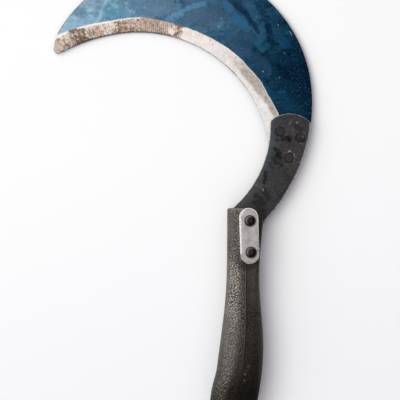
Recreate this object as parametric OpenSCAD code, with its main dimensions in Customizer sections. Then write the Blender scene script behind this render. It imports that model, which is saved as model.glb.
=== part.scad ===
// Serrated sickle: a blue steel crescent riveted to a forged arm, whose tang sits in a moulded grip.
// Every piece is drawn flat first, with the middle of the blade's crown curve at the origin, +Y towards
// the crown, the handle towards -Y, the blade's back on z = 0 and its ground side up. Then the whole tool
// is leaned as it lies on a table: on the crown of the blade and on the head of the upper handle rivet.

/* [Blade outline] */
// Radius of the long curve round the crown
crown_r = 106; // [96:1:116]
// Widest part of the blade, from the crown curve to the cutting edge
blade_w = 61; // [52:0.5:66]
// Radius of the tighter curve towards the tip
tip_r = 39.5; // [34:0.5:48]
// Where the tighter tip curve starts, in degrees round from +X
tip_from = 147.5; // [142:0.5:152]
// Radius of the small round at the end of the tip
nose_r = 4; // [2.5:0.5:6]
// Radius of the flatter curve down the heel and the arm
heel_r = 133.3; // [124:0.5:142]
// Where the heel curve starts, in degrees round from +X
heel_from = 4.9; // [2:0.1:8]

/* [Cutting edge] */
// How far the middle of the cutting edge's curve lies from the middle of the crown curve
edge_shift = 57.3; // [52:0.1:60]
// Direction of that shift, in degrees round from +X
edge_shift_dir = 239.4; // [237:0.1:242]
// Radius of the flatter part of the cutting edge, towards the tip
edge_flat_r = 137.5; // [125:0.5:150]
// Where the flatter part starts, in degrees round the edge's own middle
edge_flat_from = 97.5; // [92:0.5:102]
// How far the middle of the bevel's cone lies from the middle of the crown curve
bevel_shift = 61.5; // [60.5:0.1:62.5]
// Direction of that shift, in degrees round from +X
bevel_shift_dir = 239.3; // [238.8:0.1:239.8]
// Radius at which the cone comes down to the thickness of the edge
bevel_r = 106.1; // [105.6:0.1:106.6]
// Width of the ground bevel
bevel_w = 12; // [9:0.1:13]
// Where the bevel runs out under the arm, in degrees round the cone's middle
bevel_to = 6; // [4:0.5:8]
// Thickness left at the cutting edge
edge_t = 0.4; // [0.35:0.05:0.6]

/* [Serration] */
// Distance between neighbouring teeth
tooth_pitch = 1.5; // [1.2:0.1:3]
// How far the groove between two teeth cuts back from the edge
tooth_notch = 0.8; // [0.4:0.1:1.2]
// Full angle of the groove's section
tooth_v = 100; // [80:1:110]
// Lean of the grooves from straight across the bevel
tooth_lean = 10; // [0:1:20]
// Where the serration ends, in degrees round the edge's own middle
teeth_to = 72; // [60:1:85]

/* [Arm] */
// Thickness of the blade
blade_t = 2; // [1.5:0.1:2.5]
// Thickness of the arm and its tang
arm_t = 3; // [2.5:0.1:4]
// Width of the arm where it is narrowest
arm_w = 24.6; // [20:0.1:26]
// How far the middles of the arm's two edge curves lie apart, which widens the arm upwards
arm_widen = 23.4; // [18:0.1:26]
// Direction in which the arm is narrowest, in degrees round from +X
arm_narrow_dir = -48.8; // [-52:0.1:-44]
// Where the arm's outer edge turns straight, in degrees round from +X
arm_straight_from = -38; // [-41:0.5:-36]
// Radius of the arm's round upper end
arm_end_r = 22.6; // [21:0.1:25]
// Rounding of that end's inner corner
arm_corner_r = 4.5; // [2:0.5:6]
// Radius of the blade's round lower end, under the arm
blade_end_r = 21.8; // [20:0.1:24]
// How far in from the outer edge the middle of the blade joint lies
joint_in = 13.5; // [12:0.1:16]
// Direction of the blade joint from the middle of the heel curve, in degrees
joint_dir = -14.9; // [-17:0.1:-13]
// Width of the tang in the handle
tang_w = 11; // [9:0.5:12]
// Length of the tang below the handle's top
tang_len = 46; // [42:0.5:56]

/* [Blade rivets] */
// Shank of a blade rivet
blade_rivet_d = 5; // [4:0.1:6]
// Flush head of a blade rivet
blade_rivet_head_d = 8; // [7:0.1:9]
// Depth of the head's cone
blade_rivet_sink = 1.2; // [0.8:0.1:1.4]
// Distance of each blade rivet from the middle of the joint
blade_rivet_reach = [11.4, 9.4, 11.9]; // [9:0.1:13]
// Direction of each blade rivet from the middle of the joint, in degrees
blade_rivet_dir = [130, 26, 266.5]; // [0:1:360]

/* [Handle] */
// How far in from the outer edge of the arm the middle of the handle's top lies
handle_in = 17.8; // [16:0.1:20]
// Direction of the handle's top from the middle of the heel curve, in degrees
handle_dir = -45.4; // [-47:0.1:-44]
// Length of the handle
handle_len = 165.5; // [155:0.5:180]
// Reach to the left of its top's middle, down to where the left side flares
left_reach = 13.8; // [12:0.1:16]
// Slope of the flare on the left side
left_flare = 0.14; // [0.08:0.01:0.2]
// Where that flare sets in, as a distance from the top
flare_at = 66; // [60:1:90]
// How gently it sets in
flare_ease = 20; // [10:1:30]
// How far the butt hooks out at the left
hook_out = 1.8; // [0:0.1:5]
// Where the hook begins, as a distance from the top
hook_from = 124; // [118:1:126]
// Length over which the hook swells
hook_len = 18; // [14:1:22]
// Reach to the right at the top
right_top = 14.1; // [12:0.1:16]
// Reach to the right at the waist
right_waist = 10.9; // [10:0.1:13]
// Reach to the right at the belly
right_belly = 14; // [12:0.1:17]
// Radius of the curve down the right side from belly to butt
right_curve_r = 203; // [150:1:400]
// Depth at the top, front to back
top_d = 22; // [20:0.1:25]
// Depth at the waist
waist_d = 22; // [19:0.1:24]
// Depth at the belly
belly_d = 27; // [23:0.1:31]
// Depth at the butt
butt_d = 28; // [23:0.1:32]
// Distance of the waist from the top
waist_at = 52.5; // [48:0.5:60]
// Distance of the belly from the top
belly_at = 106.5; // [100:0.5:116]
// Distance at which the butt's dome begins
butt_at = 148; // [142:0.5:150]
// How far the front and back crests lie right of the middle
crest_right = 2.1; // [0:0.1:4]
// Rounding of the handle's top edge
top_edge_r = 1.4; // [0.8:0.1:2]
// Clearance on each face of the tang in its slot
slot_gap = 0.15; // [0.1:0.05:0.3]

/* [Plates and handle rivets] */
// Width of a plate
plate_w = 14.9; // [13:0.1:17]
// Length of a plate
plate_len = 43.6; // [40:0.1:48]
// Thickness of a plate
plate_t = 1.6; // [1.2:0.1:2]
// How deep a plate is let into its cheek
plate_let_in = 0.8; // [0.4:0.1:1]
// Clearance round a plate in its seat
seat_gap = 0.1; // [0.05:0.05:0.3]
// How far right of the top's middle the plate's middle lies
plate_right = 3.1; // [1:0.1:4]
// How far below the handle's top the plate's middle lies
plate_down = 21.8; // [18:0.1:25]
// Turn of the plates and their rivets against the handle, in degrees
plate_turn = 1.9; // [0:0.1:4]
// Distance between the two handle rivets
rivet_spacing = 24.6; // [22:0.1:28]
// How far right of the plate's own centre line the rivets sit
rivet_right = 0.8; // [0:0.05:1.5]
// How far below the plate's middle the middle of the rivet pair lies
rivet_down = 0.4; // [-1:0.1:1]
// Shank of a handle rivet
rivet_d = 4; // [3:0.1:5]
// Head of a handle rivet
rivet_head_d = 8.3; // [7.5:0.1:10]
// Height of a handle rivet's head
rivet_head_h = 2.1; // [1.6:0.1:2.6]
// Hammered flat on top of a handle rivet's head
rivet_flat_d = 3.6; // [2:0.1:5]
// Clearance of every rivet in its holes, on the radius
rivet_gap = 0.05; // [0.03:0.01:0.1]

/* [Resting] */
// Where on the crown the tool touches the table, in degrees from +Y towards +X
crown_touch = 4; // [0:1:30]

/* [Hidden] */
$fn = 180;

// A cutting tool passes this far beyond what it cuts
past = 1;
// A wedge reaches this far from its corner, which is beyond the whole tool
far = 600;
// A curve under the joint's round end runs on this far, in degrees
run_on = 30;
// Longest step along a drawn curve, in degrees and in millimetres
arc_step = 3;
arc_chord = 4;

function dir(a) = [cos(a), sin(a)];
function blend(a, b, u) = a + (b - a) * u * u * (3 - 2 * u);

// Points along a curve after its first, which ends the curve before it
function arc(c, r, from, to) =
    let (turn = abs(to - from), steps = ceil(max(turn / arc_step, turn * PI / 180 * r / arc_chord)))
    [for (i = [1:steps]) c + r * dir(from + (to - from) * i / steps)];

// Middles of the outline's curves, each tangent to its neighbour where it takes over
tip_c = (crown_r - tip_r) * dir(tip_from);
heel_c = (crown_r - heel_r) * dir(heel_from);
nose_from = 172.8;
nose_to = 272;
nose_c = tip_c + (tip_r - nose_r) * dir(nose_from);

// Middles of the cutting edge's curves
edge_r = crown_r - blade_w + edge_shift;
edge_c = edge_shift * dir(edge_shift_dir);
edge_flat_c = edge_c + (edge_r - edge_flat_r) * dir(edge_flat_from);
// Ends of those curves, well beyond the blade's heel and tip
edge_from = -60;
edge_flat_to = 150;
bevel_c = bevel_shift * dir(bevel_shift_dir);

// Arm, joint and handle hang on the heel curve
arm_inner_r = heel_r - arm_widen - arm_w;
arm_inner_c = heel_c + arm_widen * dir(arm_narrow_dir);
joint_c = heel_c + (heel_r - joint_in) * dir(joint_dir);
handle_top = heel_c + (heel_r - handle_in) * dir(handle_dir);
plate_c = handle_top + [plate_right, -plate_down];

// The disc that rounds the arm's inner corner passes this far over both curves, so that it crosses them
corner_bite = 0.01;
corner_reach = arm_end_r - arm_corner_r + corner_bite;
corner_gap = arm_inner_r + arm_corner_r - corner_bite;
to_inner = arm_inner_c - joint_c;
corner_open = acos((pow(corner_reach, 2) + pow(norm(to_inner), 2) - pow(corner_gap, 2))
                   / (2 * corner_reach * norm(to_inner)));
corner_dir = atan2(to_inner[1], to_inner[0]) - corner_open;
corner_c = joint_c + corner_reach * dir(corner_dir);
corner_to = atan2(arm_inner_c[1] - corner_c[1], arm_inner_c[0] - corner_c[0]);

// Levels, from the blade's back upwards
arm_z = blade_t;
mid_z = blade_t + arm_t / 2;
seat_z = top_d / 2 - plate_let_in;
plate_face_z = seat_z + plate_t;
head_face_z = plate_face_z + rivet_head_h;

// The plane's part between two directions less than 200 degrees apart
module wedge_shape(from, to) {
    step = (to - from) / 4;
    polygon(concat([[0, 0]], [for (i = [0:4]) far * dir(from + i * step)]));
}

// What lies beyond a disc, between two directions
module beyond(c, r, from, to) {
    translate(c)
        difference() {
            wedge_shape(from, to);
            circle(r);
        }
}

// Heel, crown, tip and nose curves in one run, less the cutting edge's two curves
module blade_outline() {
    difference() {
        polygon(concat(arc(heel_c, heel_r, joint_dir - run_on, heel_from),
                       arc([0, 0], crown_r, heel_from, tip_from),
                       arc(tip_c, tip_r, tip_from, nose_from),
                       arc(nose_c, nose_r, nose_from, nose_to)));
        polygon(concat(arc(edge_c, edge_r, edge_from, edge_flat_from),
                       arc(edge_flat_c, edge_flat_r, edge_flat_from, edge_flat_to)));
        beyond(joint_c, blade_end_r, joint_dir - 180, joint_dir);
    }
}

// Takes the bevel off above one cone, whose slope rises from the edge to the bevel line
module bevel_cut() {
    slope = bevel_w / (blade_t - edge_t);
    foot_r = bevel_r - slope * edge_t;
    translate([bevel_c[0], bevel_c[1], 0])
        intersection() {
            cylinder(h = blade_t + past, r1 = foot_r, r2 = foot_r + slope * (blade_t + past));
            linear_extrude(height = blade_t + past)
                wedge_shape(bevel_to, edge_flat_to);
        }
}

// A groove that is deepest at the edge and fades out at the bevel line
module tooth_groove(c, r, a) {
    rise = atan(blade_t / (bevel_w - tooth_notch));
    half = tan(tooth_v / 2);
    run = bevel_w + 2 * past;
    translate([c[0], c[1], 0])
        rotate(a)
            translate([r + tooth_notch, 0, 0])
                rotate(tooth_lean)
                    rotate([0, -rise, 0])
                        translate([-2 * past, 0, 0])
                            rotate([90, 0, 90])
                                linear_extrude(height = run)
                                    polygon([[0, 0], [half * blade_t, blade_t], [-half * blade_t, blade_t]]);
}

// Groove places, from the tip back along the flatter curve and then along the main one
edge_tip_dir = 118.6;
flat_teeth = floor((edge_tip_dir - edge_flat_from) * PI / 180 * edge_flat_r / tooth_pitch);
main_teeth = floor((edge_flat_from - teeth_to) * PI / 180 * edge_r / tooth_pitch);

module serration() {
    for (i = [0.5:flat_teeth])
        tooth_groove(edge_flat_c, edge_flat_r, edge_flat_from + i * tooth_pitch / edge_flat_r * 180 / PI);
    for (i = [0.5:main_teeth])
        tooth_groove(edge_c, edge_r, edge_flat_from - i * tooth_pitch / edge_r * 180 / PI);
}

module blade() {
    color("steelblue")
        as_it_lies()
            difference() {
                linear_extrude(height = blade_t)
                    blade_outline();
                bevel_cut();
                serration();
                for (i = [0:2])
                    blade_rivet_body(i, rivet_gap);
            }
}

// The tang hangs along the plates' line, so that both rivets pass through its middle
function on_plate_line(across, along) =
    plate_c + [cos(plate_turn) * across + sin(plate_turn) * along,
               sin(plate_turn) * across - cos(plate_turn) * along];
// Where the neck has narrowed to the tang, and where that ends, along that line from the plate's middle
neck_len = 18;
tang_from = neck_len - plate_down;
tang_to = tang_len - plate_down;
tang_crop = 2.5;
// Straight stretch of the arm's outer edge down to the handle
arm_straight = 18.4;
// How far the arm's root reaches left of the handle's middle, and below the handle's top
arm_root = 12;
arm_root_down = 3;
rivet_at = [on_plate_line(rivet_right, rivet_down - rivet_spacing / 2),
            on_plate_line(rivet_right, rivet_down + rivet_spacing / 2)];

// Outline of the arm and tang, with room all round for the slot that takes it
module arm_outline(room) {
    outer = heel_r + room;
    shoulder = heel_c + outer * dir(arm_straight_from);
    straight = dir(arm_straight_from - 90);
    half = tang_w / 2 + room;
    difference() {
        polygon(concat(arc(heel_c, outer, joint_dir + run_on, arm_straight_from),
                       [shoulder + arm_straight * straight,
                        on_plate_line(rivet_right + half, tang_from),
                        on_plate_line(rivet_right + half, tang_to - tang_crop),
                        on_plate_line(rivet_right + half - tang_crop, tang_to + room),
                        on_plate_line(rivet_right - half + tang_crop, tang_to + room),
                        on_plate_line(rivet_right - half, tang_to - tang_crop),
                        on_plate_line(rivet_right - half, tang_from),
                        handle_top - [arm_root + room, arm_root_down],
                        [handle_top[0] - arm_root - room, joint_c[1] + arm_end_r]]));
        beyond(joint_c, arm_end_r + room, joint_dir, joint_dir + 180);
        beyond(corner_c, arm_corner_r + room, corner_dir, corner_to < corner_dir ? corner_to + 360 : corner_to);
        translate(arm_inner_c)
            circle(arm_inner_r - room);
    }
}

module arm() {
    color("dimgray")
        as_it_lies()
            difference() {
                translate([0, 0, arm_z])
                    linear_extrude(height = arm_t)
                        arm_outline(0);
                for (i = [0:2])
                    blade_rivet_body(i, rivet_gap);
                for (i = [0:1])
                    rivet_hole(i);
            }
}

// Shank with a flush cone at each end, through the blade and the arm
module blade_rivet_body(i, room) {
    stack = blade_t + arm_t;
    at = joint_c + blade_rivet_reach[i] * dir(blade_rivet_dir[i]);
    shank = blade_rivet_d / 2 + room;
    head = blade_rivet_head_d / 2 + room;
    translate([at[0], at[1], 0]) {
        cylinder(h = stack, r = shank);
        cylinder(h = blade_rivet_sink, r1 = head, r2 = shank);
        translate([0, 0, stack - blade_rivet_sink])
            cylinder(h = blade_rivet_sink, r1 = shank, r2 = head);
    }
}

module blade_rivet(i) {
    color("darkslategray")
        as_it_lies()
            blade_rivet_body(i, 0);
}

// Hole for a handle rivet, through everything that it holds
module rivet_hole(i) {
    translate([rivet_at[i][0], rivet_at[i][1], mid_z - plate_face_z - past])
        cylinder(h = 2 * (plate_face_z + past), r = rivet_d / 2 + rivet_gap);
}

// A low dome with its top hammered flat
module rivet_head() {
    edge = rivet_head_d / 2;
    flat = rivet_flat_d / 2;
    // the ball through the head's foot and the rim of its flat
    below = (edge * edge - flat * flat - rivet_head_h * rivet_head_h) / (2 * rivet_head_h);
    intersection() {
        translate([0, 0, -below])
            sphere(r = sqrt(edge * edge + below * below));
        cylinder(h = rivet_head_h, r = edge + past);
    }
}

module handle_rivet(i) {
    color("black")
        as_it_lies()
            translate([rivet_at[i][0], rivet_at[i][1], mid_z]) {
                translate([0, 0, -plate_face_z])
                    cylinder(h = 2 * plate_face_z, r = rivet_d / 2);
                translate([0, 0, plate_face_z])
                    rivet_head();
                mirror([0, 0, 1])
                    translate([0, 0, plate_face_z])
                        rivet_head();
            }
}

// Flat bar with round ends, along the plates' line
module plate_outline(room) {
    half = plate_w / 2 + room;
    reach = plate_len / 2 - plate_w / 2;
    translate(plate_c)
        rotate(plate_turn) {
            square([2 * half, 2 * reach], center = true);
            for (end = [-1, 1])
                translate([0, end * reach])
                    circle(half);
        }
}

module plate(side) {
    color("silver")
        as_it_lies()
            difference() {
                translate([0, 0, mid_z + side * (seat_z + plate_t / 2)])
                    linear_extrude(height = plate_t, center = true)
                        plate_outline(0);
                for (i = [0:1])
                    rivet_hole(i);
            }
}

// Handle's reach to either side and its depth, at a distance s below its top
function left_side(s) =
    left_reach + left_flare / 2 * (s - flare_at + sqrt(pow(s - flare_at, 2) + pow(flare_ease, 2)))
    + blend(0, hook_out, max(0, min(1, (s - hook_from) / hook_len)));
function right_side(s) =
    s < waist_at ? blend(right_top, right_waist, s / waist_at)
    : s < belly_at ? blend(right_waist, right_belly, (s - waist_at) / (belly_at - waist_at))
    : right_belly - pow(s - belly_at, 2) / (2 * right_curve_r);
function depth(s) =
    s < waist_at ? blend(top_d, waist_d, s / waist_at)
    : s < belly_at ? blend(waist_d, belly_d, (s - waist_at) / (belly_at - waist_at))
    : blend(belly_d, butt_d, min(1, (s - belly_at) / (butt_at - belly_at)));
function middle(s) = (right_side(s) - left_side(s)) / 2;

// How much the top's rounding and the butt's dome draw a ring in
butt_power = 2.3;
function drawn_in(s) =
    s < top_edge_r ? top_edge_r - sqrt(top_edge_r * top_edge_r - pow(top_edge_r - s, 2)) : 0;
function domed(s) = s < butt_at ? 1
    : pow(max(0, 1 - pow((s - butt_at) / (handle_len - butt_at), butt_power)), 1 / butt_power);

// A ring is boxy under the plates and turns rounder from there down
top_square = 7;
grip_square = 2.4;
square_to = 30;
round_from = 82;
ring_points = 48;
function squareness(s) =
    blend(top_square, grip_square, max(0, min(1, (s - square_to) / (round_from - square_to))));
function bent(v, power) = sign(v) * pow(abs(v), 2 / power);
function ring(s) =
    let (half_w = (left_side(s) + right_side(s)) / 2 * domed(s) - drawn_in(s),
         half_d = depth(s) / 2 * domed(s) - drawn_in(s),
         crest = crest_right * domed(s),
         n = squareness(s))
    [for (i = [0:ring_points - 1])
        let (a = i * 360 / ring_points, side = cos(a) > 0 ? half_w - crest : half_w + crest)
        [handle_top[0] + middle(s) + crest + side * bent(cos(a), n), handle_top[1] - s,
         mid_z + half_d * bent(sin(a), n)]];

// Distances of the rings: round the top's edge, down the grip, and round the butt's dome
grip_rings = 30;
butt_rings = 10;
last_ring = 0.995;
stations = concat(
    [for (i = [0:3]) top_edge_r * (1 - cos(i * 30))],
    [for (i = [1:grip_rings]) top_edge_r + (butt_at - top_edge_r) * i / grip_rings],
    [for (i = [1:butt_rings]) butt_at + (handle_len - butt_at) * last_ring * sin(i * 90 / butt_rings)]);

module handle_body() {
    rings = len(stations);
    points = [for (s = stations) each ring(s)];
    sides = [for (j = [0:rings - 2], i = [0:ring_points - 1])
        let (next = (i + 1) % ring_points, a = j * ring_points, b = a + ring_points)
        each [[a + i, a + next, b + next], [a + i, b + next, b + i]]];
    top_face = [for (i = [ring_points - 1:-1:0]) i];
    end_face = [for (i = [0:ring_points - 1]) (rings - 1) * ring_points + i];
    polyhedron(points = points, faces = concat([top_face, end_face], sides), convexity = 4);
}

module handle() {
    color("darkolivegreen")
        as_it_lies()
            difference() {
                handle_body();
                translate([0, 0, mid_z - arm_t / 2 - slot_gap])
                    linear_extrude(height = arm_t + 2 * slot_gap)
                        arm_outline(slot_gap);
                for (side = [-1, 1])
                    translate([0, 0, mid_z + side * (seat_z + top_d / 2)])
                        linear_extrude(height = top_d, center = true)
                            plate_outline(seat_gap);
                for (i = [0:1])
                    rivet_hole(i);
            }
}

// Lean: the blade's crown edge and the rim of the upper rivet's rear flat both touch z = 0
touch = crown_r * [sin(crown_touch), cos(crown_touch), 0];
lean_axis = [cos(crown_touch), -sin(crown_touch), 0];
inward = [-sin(crown_touch), -cos(crown_touch)];
rivet_reach = (rivet_at[0] - [touch[0], touch[1]]) * inward - rivet_flat_d / 2;
lean = atan((head_face_z - mid_z) / rivet_reach);

// Where a point of the flat drawing goes when the tool leans
function leaned(p) =
    p * cos(lean) + cross(p, lean_axis) * sin(lean) + lean_axis * (lean_axis * p) * (1 - cos(lean));
leftmost = leaned([nose_c[0] - nose_r, nose_c[1], 0]);
rightmost = leaned([heel_c[0] + heel_r, heel_c[1], 0]);
topmost = leaned([0, crown_r, 0]);
lowest = leaned([handle_top[0] + middle(handle_len), handle_top[1] - handle_len, mid_z]);

module as_it_lies() {
    translate([-(leftmost[0] + rightmost[0]) / 2, -(topmost[1] + lowest[1]) / 2, -leaned(touch)[2]])
        rotate(a = -lean, v = lean_axis)
            children();
}

blade();
arm();
blade_rivet(0);  // blade_rivet_1
blade_rivet(1);  // blade_rivet_2
blade_rivet(2);  // blade_rivet_3
handle();
plate(1);  // front_plate
plate(-1);  // back_plate
handle_rivet(0);  // handle_rivet_upper
handle_rivet(1);  // handle_rivet_lower
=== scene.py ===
"""A serrated sickle lying on a pale floor, seen from straight above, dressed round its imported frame."""
import math

import bmesh
import bpy
import numpy as np
from mathutils import Matrix, Vector


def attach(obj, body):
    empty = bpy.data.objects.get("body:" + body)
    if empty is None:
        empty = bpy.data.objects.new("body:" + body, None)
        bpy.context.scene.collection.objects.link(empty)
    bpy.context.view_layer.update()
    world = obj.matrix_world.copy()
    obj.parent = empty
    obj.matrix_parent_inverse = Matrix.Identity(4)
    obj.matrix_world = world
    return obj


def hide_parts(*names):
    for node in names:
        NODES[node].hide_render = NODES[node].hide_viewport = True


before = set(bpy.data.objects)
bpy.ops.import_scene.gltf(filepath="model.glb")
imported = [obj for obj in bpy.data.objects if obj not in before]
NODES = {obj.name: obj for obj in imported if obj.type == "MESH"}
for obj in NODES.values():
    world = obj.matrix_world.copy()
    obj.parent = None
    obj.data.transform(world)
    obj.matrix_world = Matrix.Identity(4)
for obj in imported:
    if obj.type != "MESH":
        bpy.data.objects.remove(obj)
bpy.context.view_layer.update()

# Lengths are in millimetres in the flat drawing, whose origin is the middle of the crown's curve, with +Y
# towards the crown and the blade's back on z = 0. Angles are in degrees round from +X.
MM = 0.001
CROWN_R = 106.0
TIP_R, TIP_FROM = 39.5, 147.5
NOSE_R, NOSE_FROM, NOSE_TO = 4.0, 172.8, 272.0
HEEL_R, HEEL_FROM = 133.3, 4.9
BLADE_T, EDGE_T = 2.0, 0.4
EDGE_R, EDGE_SHIFT, EDGE_SHIFT_DIR = 102.3, 57.3, 239.4
EDGE_FLAT_R, EDGE_FLAT_FROM = 137.5, 97.5
BEVEL_SHIFT, BEVEL_SHIFT_DIR, BEVEL_R, BEVEL_W, BEVEL_TO = 61.5, 239.3, 106.1, 12.0, 6.0
TOOTH_PITCH, TOOTH_NOTCH, TOOTH_V, TOOTH_LEAN = 1.5, 0.8, 100.0, 10.0
BLADE_END_R = 21.8
ARM_T = 3.0
JOINT_IN, JOINT_DIR = 13.5, -14.9
BLADE_RIVET_D, BLADE_RIVET_HEAD_D, BLADE_RIVET_SINK = 5.0, 8.0, 1.2
BLADE_RIVET_REACH = (11.4, 9.4, 11.9)
BLADE_RIVET_DIR = (130.0, 26.0, 266.5)
HANDLE_IN, HANDLE_DIR, HANDLE_LEN = 17.8, -45.4, 165.5
TOP_EDGE_R, WAIST_AT, BELLY_AT, BUTT_AT = 1.4, 52.5, 106.5, 148.0
DEPTHS = (22.0, 22.0, 27.0, 28.0)
CREST_RIGHT = 2.1
PLATE_W, PLATE_LEN, PLATE_T, PLATE_LET_IN, SEAT_GAP = 14.9, 43.6, 1.6, 0.8, 0.1
PLATE_RIGHT, PLATE_DOWN, PLATE_TURN = 3.1, 21.8, 1.9
RIVET_SPACING, RIVET_RIGHT, RIVET_DOWN = 24.6, 0.8, 0.4
RIVET_D, RIVET_HEAD_D, RIVET_HEAD_H, RIVET_FLAT_D, RIVET_WALL = 4.0, 8.3, 2.1, 3.6, 0.34
NECK_LEN, TANG_LEN, TANG_W, TANG_CROP, TANG_ROOM = 18.0, 46.0, 11.0, 2.5, 0.15
# Photograph: millimetres for each pixel, and the pixel at the flat drawing's origin
PX = 0.78
ORIGIN_PX = (175.95, 100.18)
IMAGE_PX = 400


def direction(a):
    """The unit vector at an angle, or one for each of several."""
    return np.stack([np.cos(np.radians(a)), np.sin(np.radians(a))], -1)


def bearing(v):
    """The angle of each vector."""
    return np.degrees(np.arctan2(v[:, 1], v[:, 0]))


def length(v):
    return np.linalg.norm(v, axis=1)


def smooth(x):
    x = np.clip(x, 0.0, 1.0)
    return x * x * (3.0 - 2.0 * x)


TIP_C = (CROWN_R - TIP_R) * direction(TIP_FROM)
HEEL_C = (CROWN_R - HEEL_R) * direction(HEEL_FROM)
NOSE_C = TIP_C + (TIP_R - NOSE_R) * direction(NOSE_FROM)
EDGE_C = EDGE_SHIFT * direction(EDGE_SHIFT_DIR)
EDGE_FLAT_C = EDGE_C + (EDGE_R - EDGE_FLAT_R) * direction(EDGE_FLAT_FROM)
BEVEL_C = BEVEL_SHIFT * direction(BEVEL_SHIFT_DIR)
JOINT_C = HEEL_C + (HEEL_R - JOINT_IN) * direction(JOINT_DIR)
HANDLE_TOP = HEEL_C + (HEEL_R - HANDLE_IN) * direction(HANDLE_DIR)
PLATE_C = HANDLE_TOP + np.array([PLATE_RIGHT, -PLATE_DOWN])
MID_Z = BLADE_T + ARM_T / 2
SEAT_Z = DEPTHS[0] / 2 - PLATE_LET_IN
PLATE_FACE_Z = SEAT_Z + PLATE_T


def on_plate_line(across, along):
    """A place by its distance right of the plate's middle and down its length."""
    turn = math.radians(PLATE_TURN)
    return PLATE_C + np.array([math.cos(turn) * across + math.sin(turn) * along,
                               math.sin(turn) * across - math.cos(turn) * along])


HANDLE_RIVETS = [on_plate_line(RIVET_RIGHT, RIVET_DOWN + side * RIVET_SPACING / 2) for side in (-1, 1)]
BLADE_RIVETS = [JOINT_C + r * direction(a) for r, a in zip(BLADE_RIVET_REACH, BLADE_RIVET_DIR)]


def lying():
    """From the flat drawing to the frame: its tilt from the blade's back, its place from its outline."""
    mesh = NODES["blade"].data
    down = Vector((0, 0, 0))
    for face in mesh.polygons:
        if face.normal.z < -0.9:
            down += face.normal * face.area
    turn = Vector((0, 0, -1)).rotation_difference(down.normalized()).to_matrix()
    flat = np.array([turn.transposed() @ v.co for v in mesh.vertices]) / MM
    corner = Vector((flat[:, 0].max(), flat[:, 1].max(), flat[:, 2].min()))
    place = corner - Vector((HEEL_C[0] + HEEL_R, CROWN_R, 0))
    return turn.to_4x4() @ Matrix.Translation(place * MM) @ Matrix.Scale(MM, 4)


LIE = lying()


def px(x, y):
    """A pixel of the photograph as a place in the flat drawing."""
    return np.array([(x - ORIGIN_PX[0]) * PX, (ORIGIN_PX[1] - y) * PX])


# Procedural noise for shapes, the same on each run

def hashed(cells, salt):
    """Three pseudo-random numbers from 0 to 1 for each whole-numbered cell."""
    i = cells.astype(np.int64)
    h = (i[:, 0] * 73856093) ^ (i[:, 1] * 19349663) ^ (i[:, 2] * 83492791) ^ (salt * 2654435761)
    out = []
    for k in range(3):
        h = (h ^ (h >> 13)) * 1274126177 & 0x7FFFFFFF
        out.append((h >> 5) % 65536 / 65536.0)
    return np.stack(out, 1)


def cells(places, size, salt=1, spread=0.6):
    """Distance to the nearest of scattered spots about size apart on a flat sheet, as a share of size."""
    q = places / size
    base = np.floor(q)
    near = np.full(len(q), 9.0)
    for dx in (-1, 0, 1):
        for dy in (-1, 0, 1):
            c = base + (dx, dy)
            spot = c + 0.5 + (hashed(flat3(c), salt)[:, :2] - 0.5) * spread
            spot[:, 0] += 0.5 * (c[:, 1] % 2) - 0.25
            near = np.minimum(near, length(spot - q))
    return near


def waves(points, size, salt=1, octaves=3):
    """Smooth noise from about -1 to 1, whose largest swells are about size apart."""
    total = np.zeros(len(points))
    for octave in range(octaves):
        q = points / size * 2 ** octave
        base = np.floor(q)
        f = q - base
        w = f * f * (3 - 2 * f)
        value = np.zeros(len(points))
        for dx in (0, 1):
            for dy in (0, 1):
                for dz in (0, 1):
                    weight = np.abs(1 - dx - w[:, 0]) * np.abs(1 - dy - w[:, 1]) * np.abs(1 - dz - w[:, 2])
                    value += weight * hashed(base + (dx, dy, dz), salt + octave)[:, 0]
        total += (value * 2 - 1) / 2 ** octave
    return total / 1.6


def flat3(points, z=0.0):
    return np.column_stack([points[:, 0], points[:, 1], np.full(len(points), z)])


# Pieces

def linked(name, data):
    """A new object in the scene."""
    thing = bpy.data.objects.new(name, data)
    bpy.context.scene.collection.objects.link(thing)
    return thing


def dressed(thing, node, sharp):
    """Shades a piece smoothly up to an angle, and has it stand for its CAD node."""
    thing.data.shade_smooth()
    thing.data.set_sharp_from_angle(angle=math.radians(sharp))
    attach(thing, "root")
    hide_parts(node)
    return thing


def new_mesh(name, points, faces, values=()):
    """A mesh that also keeps numbers at its points, for its material."""
    mesh = bpy.data.meshes.new(name)
    mesh.from_pydata([tuple(p) for p in points], [], faces)
    for key, numbers in dict(values).items():
        mesh.attributes.new(key, "FLOAT", "POINT").data.foreach_set("value", numbers.astype(np.float32))
    return mesh


def facing_out(mesh, joined=0.0):
    """Turns all faces outward, once points closer than a distance are joined."""
    bm = bmesh.new()
    bm.from_mesh(mesh)
    if joined:
        bmesh.ops.remove_doubles(bm, verts=bm.verts, dist=joined)
    bmesh.ops.recalc_face_normals(bm, faces=bm.faces)
    bm.to_mesh(mesh)
    bm.free()


def piece(name, points, faces, node, values=()):
    """A mesh piece from points in the flat drawing, laid down in the frame."""
    mesh = new_mesh(name, points, faces, values)
    mesh.transform(LIE)
    mesh.validate()
    facing_out(mesh, 0.002 * MM)
    return dressed(linked(name, mesh), node, 50)


def grid_faces(rows, columns, wrap=False, start=0):
    """Faces of a grid of rows whose points run along the columns."""
    faces = []
    last = columns if wrap else columns - 1
    for r in range(rows - 1):
        for c in range(last):
            n = (c + 1) % columns
            a = start + r * columns
            faces.append((a + c, a + n, a + columns + n, a + columns + c))
    return faces


def tube_faces(rows, columns):
    """Faces of a tube of rows that run round it, closed at both ends."""
    first_row = range(columns)
    last_row = range((rows - 1) * columns, rows * columns)
    return grid_faces(rows, columns, wrap=True) + [tuple(first_row), tuple(reversed(last_row))]


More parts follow.
